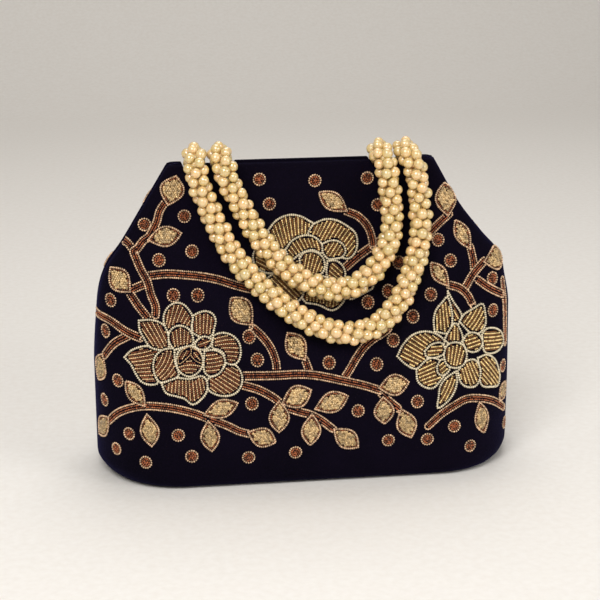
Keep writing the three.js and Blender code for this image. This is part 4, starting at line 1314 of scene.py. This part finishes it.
def flower_beads(form, sizes, stripes, petals):
    """A flower: each petal has a thick outline of pale beads, and rows of raised beads with darker, lower
    rows between them. The rows spread out and bend along their direction.

    Returns the beadwork, and the petals' outlines."""
    raised_finish, raised_radius, low_finish, low_radius = stripes
    work = Beadwork(sizes)
    lines = [petal_line(form, outline) for outline, *_ in petals]
    pitch = sizes.bead_pitch
    for index, (line, (pixels, turn, opening, bend, *thin)) in enumerate(zip(lines, petals)):
        edge = thin[0] if thin else 1

        def shows(places):
            return clear_of(places, lines[:index])

        def clear(places):
            keep = clear_of(places, lines[:index], PETAL_CLEARANCE * pitch) & inside(places, line)
            return keep & (distance_to(places, line, closed=True) > PETAL_CLEARANCE * pitch)

        work.add_line(line, (0.65 + 0.3 * edge) * pitch, PETAL_OUTLINE_RADIUS * edge * pitch,
                      "pale" if edge == 1 else "gold", keep=shows, lift=0.5, closed=True)
        seen = np.mean(pixels, axis=0)
        ahead = seen + 6 * np.array([math.cos(math.radians(turn)), -math.sin(math.radians(turn))])
        direction = unit(np.diff(on_cloth(form, [seen, ahead]), axis=0)[0])
        angle = math.atan2(direction[1], direction[0])
        sideways = np.array([-direction[1], direction[0]])
        middle = line.mean(axis=0)
        reach = np.max(np.linalg.norm(line - middle, axis=1))
        row_gap = PETAL_ROW_GAP * pitch
        count = int(1.3 * reach / row_gap)
        for row in range(-count, count + 1):
            raised = row % 2 == 0
            run = np.arange(-reach, reach, PETAL_STEP * pitch) + (0 if raised else PETAL_STEP / 2 * pitch)
            share = run / reach
            offset = row * row_gap * (1 + opening * share) + bend * reach * share ** 2
            slope = (row * row_gap * opening + 2 * bend * reach * share) / reach
            places = middle + direction * run[:, None] + sideways * offset[:, None]
            chosen = clear(places)
            finish, radius = (raised_finish, raised_radius) if raised else (low_finish, low_radius)
            work.add(places[chosen], (angle + np.arctan(slope))[chosen], BEAD_HALF_LENGTH * pitch,
                     radius * pitch, finish, lift=0.7 if raised else 0.3)
    return work, lines


def vine_beads(form, sizes, lines, leaves, petals, others):
    """Vines and leaves: a vine has sand rows outside and copper rows inside, a leaf an outline of beads, a
    dark line of small copper beads inside it as a painted shadow, and chips of stone. Nothing is sewn where a
    petal or an earlier vine lies.

    Returns the beadwork, and the centre lines of all the vines so far."""
    work = Beadwork(sizes)
    pitch = sizes.bead_pitch
    outlines = [leaf_line(form, foot, tip, width * sizes.leaf_width) for foot, tip, width in leaves]

    def off_petals(places):
        return clear_of(places, petals, CLEARANCE_OF_PETALS * pitch)

    for outline in outlines:
        random = np.random.default_rng(len(outline) + int(abs(outline[0, 0]) * 1e5))
        work.add_line(outline, LEAF_STEP * pitch, LEAF_OUTLINE_RADIUS * pitch, "sand", keep=off_petals,
                      lift=0.5, closed=True)
        # Painted shadow: a ring of small, low copper beads just inside the outline stands in for the shade
        # between outline and chips
        shadow = moved_inwards(outline, LEAF_SHADOW_INSET * pitch)
        work.add_line(shadow, LEAF_STEP * pitch, LEAF_SHADOW_RADIUS * pitch, "copper", keep=off_petals,
                      lift=0.2, closed=True)
        low, high = outline.min(axis=0), outline.max(axis=0)
        # Chips lie in rows, every other row moved on by half a gap, and then each a little out of its place
        gap = CHIP_GAP * pitch
        columns, rows = np.meshgrid(np.arange(low[0], high[0], gap), np.arange(low[1], high[1], gap * 0.87))
        columns = columns + (np.arange(rows.shape[0])[:, None] % 2) * gap / 2
        places = np.stack([columns.ravel(), rows.ravel()], axis=1)
        places = places + random.normal(0, CHIP_JITTER * pitch, places.shape)
        chosen = inside(places, outline)
        chosen &= distance_to(places, outline, closed=True) > CHIP_CLEARANCE * pitch
        chosen &= off_petals(places)
        places = places[chosen]
        work.add(places, random.uniform(0, math.pi, len(places)), CHIP_HALF_LENGTH * pitch,
                 CHIP_RADIUS * pitch, "stone", flat=0.7)
    sewn = list(others)
    for line in lines:
        centre = smooth_line(on_cloth(form, line), 0.5 * MM)
        along = unit(np.gradient(centre, axis=0))
        across = np.stack([-along[:, 1], along[:, 0]], axis=1)
        half = sizes.vine_width / 2
        earlier = list(sewn)

        def clear(places):
            keep = off_petals(places) & clear_of(places, outlines, CLEARANCE_OF_LEAVES * pitch)
            for other in earlier:
                keep &= distance_to(places, other) > half + CLEARANCE_OF_VINES * pitch
            return keep

        turn = np.linspace(math.pi / 2, 3 * math.pi / 2, 9)[1:-1, None]
        foot = centre[0] + half * (np.cos(turn) * along[0] + np.sin(turn) * across[0])
        tip = centre[-1] - half * (np.cos(turn) * along[-1] + np.sin(turn) * across[-1])
        outline = np.concatenate([centre + across * half, tip, (centre - across * half)[::-1], foot[::-1]])
        work.add_line(outline, VINE_OUTLINE_STEP * pitch, VINE_OUTLINE_RADIUS * pitch, "sand", keep=clear,
                      lift=0.5, closed=True)
        for share in VINE_FILL_ROWS:
            work.add_line(centre + across * half * share, VINE_FILL_STEP * pitch, VINE_FILL_RADIUS * pitch,
                          "copper", keep=clear, lift=0.3)
        sewn.append(centre)
    return work, sewn


class BAG_OT_embroidery(bpy.types.Operator):
    """Sews the beaded flowers, vines and discs on both walls"""
    bl_idname = "evening_bag.embroidery"
    bl_label = "Bead embroidery"

    def execute(self, context):
        sizes = context.scene.bag_sizes
        colours = context.scene.bag_colours
        form = BagForm(sizes)
        materials = {finish: lined_glass_bead(material, getattr(colours, tint), *numbers)
                     for finish, (material, tint, *numbers) in BEADS.items()}
        works = {}
        petals = []
        for name, petals_of_one in FLOWERS.items():
            works[name], lines = flower_beads(form, sizes, STRIPES[name], petals_of_one)
            petals += lines
        sewn = []
        for name, (lines, leaves) in VINES.items():
            works[name], sewn = vine_beads(form, sizes, lines, leaves, petals, sewn)
        discs = Beadwork(sizes)
        pitch = sizes.bead_pitch
        for centre in on_cloth(form, DISCS):
            for radius, count, finish in DISC_RINGS:
                turns = 2 * math.pi * np.arange(count) / count
                ring = centre + sizes.disc_radius * radius * np.stack([np.cos(turns), np.sin(turns)], axis=1)
                discs.add(ring, turns + math.pi / 2, 0.5 * pitch, 0.5 * pitch, finish)
        works["discs"] = discs
        for facing, wall, body in ((FRONT, "front", "bag_body"), (BACK, "back", "back_wall")):
            for seed, (name, work) in enumerate(works.items()):
                piece = work.sew(form, f"beads_{wall}_{name}", facing, materials, seed)
                if name != "discs":
                    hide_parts(f"{wall}_{name}")
                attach(piece, body)
        return {"FINISHED"}


# Stage

LIGHT_AIM = np.array([0, 0, 0.08])
FLOOR_IN_FRONT = 1.2
FLOOR_BEHIND = 1.0
FLOOR_LENGTH = 3.2
FLOOR_HALF_WIDTH = 2.5
COVE_RADIUS = 0.5


def euler_of(axes):
    """Euler angles of three axes given as columns."""
    return Matrix(axes.tolist()).to_euler()


class BAG_OT_stage(bpy.types.Operator):
    """Builds the floor, the soft lights and the camera"""
    bl_idname = "evening_bag.stage"
    bl_label = "Floor, lights and camera"

    def execute(self, context):
        scene = context.scene
        floor_paint = new_material("matt_painted_floor")
        speck = noise(floor_paint, 2 * MM, 3)
        tone = mix(floor_paint, spread(floor_paint, speck, 0.3, 0.7), rgba(linear("#e9e4dd")),
                   rgba(linear("#eeeae4")))
        finish_material(floor_paint, {"Base Color": tone, "Roughness": 0.9})
        # The floor's section: flat, then a quarter circle behind the bag, then straight up
        run = np.linspace(0, 1, 40)[:, None] * FLOOR_LENGTH - FLOOR_IN_FRONT
        turn = np.clip((run - FLOOR_BEHIND) / COVE_RADIUS, 0, math.pi / 2)
        y = np.minimum(run, FLOOR_BEHIND) + COVE_RADIUS * np.sin(turn)
        z = (COVE_RADIUS * (1 - np.cos(turn)) - 0.1 * MM
             + np.maximum(run - FLOOR_BEHIND - COVE_RADIUS * math.pi / 2, 0))
        across = np.array([[-FLOOR_HALF_WIDTH, FLOOR_HALF_WIDTH]])
        sweep = np.stack(np.broadcast_arrays(across, y, z), axis=-1)
        floor = add_mesh("floor_and_backdrop", sweep, grid_faces(40, 2), floor_paint)
        for name, place, size, power in (("key_light", (-0.35, -0.8, 0.9), 0.6, 9.5),
                                         ("fill_light", (0.9, -0.8, 0.6), 0.6, 5.0),
                                         ("top_light", (0.1, 0.5, 1.2), 0.7, 5.0)):
            lamp = bpy.data.lights.new(name, "AREA")
            lamp.size = size
            lamp.energy = power
            light = bpy.data.objects.new(name, lamp)
            scene.collection.objects.link(light)
            light.location = place
            aim = unit(LIGHT_AIM - np.array(place))
            side = unit(np.cross(aim, [0, 0, 1]))
            light.rotation_euler = euler_of(np.stack([side, np.cross(side, aim), -aim], axis=1))
        world = bpy.data.worlds.new("soft_room")
        scene.world = world
        world.use_nodes = True
        background = world.node_tree.nodes["Background"]
        background.inputs["Color"].default_value = rgba(linear("#fbf7f2"))
        background.inputs["Strength"].default_value = 0.32
        camera_data = bpy.data.cameras.new("camera")
        camera_data.sensor_width = 36
        camera_data.lens = 36 * FOCAL_PIXELS / PHOTO_SIZE
        camera_data.clip_start = 0.01
        camera = bpy.data.objects.new("camera", camera_data)
        scene.collection.objects.link(camera)
        right, up, back, eye = camera_axes()
        camera.location = eye
        camera.rotation_euler = euler_of(np.stack([right, up, back], axis=1))
        scene.camera = camera
        scene.view_settings.view_transform = "Standard"
        return {"FINISHED"}


class BAG_PT_panel(bpy.types.Panel):
    """Sizes, colours and pieces of the bag"""
    bl_label = "Evening Bag"
    bl_idname = "BAG_PT_panel"
    bl_space_type = "VIEW_3D"
    bl_region_type = "UI"
    bl_category = "Evening Bag"

    def draw(self, context):
        layout = self.layout
        for settings in (context.scene.bag_sizes, context.scene.bag_colours):
            for key in settings.__annotations__:
                layout.prop(settings, key)
        for operator in OPERATORS:
            layout.operator(operator.bl_idname)


OPERATORS = (
    BAG_OT_velvet_walls,
    BAG_OT_inner_layers,
    BAG_OT_metal_and_ribbon,
    BAG_OT_pearl_ropes,
    BAG_OT_embroidery,
    BAG_OT_stage,
)
CLASSES = (BagSizes, BagColours) + OPERATORS + (BAG_PT_panel,)


def register():
    for one in CLASSES:
        bpy.utils.register_class(one)
    bpy.types.Scene.bag_sizes = bpy.props.PointerProperty(type=BagSizes)
    bpy.types.Scene.bag_colours = bpy.props.PointerProperty(type=BagColours)


def unregister():
    del bpy.types.Scene.bag_colours
    del bpy.types.Scene.bag_sizes
    for one in reversed(CLASSES):
        bpy.utils.unregister_class(one)


def main():
    register()
    for operator in OPERATORS:
        group, action = operator.bl_idname.split(".")
        getattr(getattr(bpy.ops, group), action)()


if __name__ == "__main__":
    main()
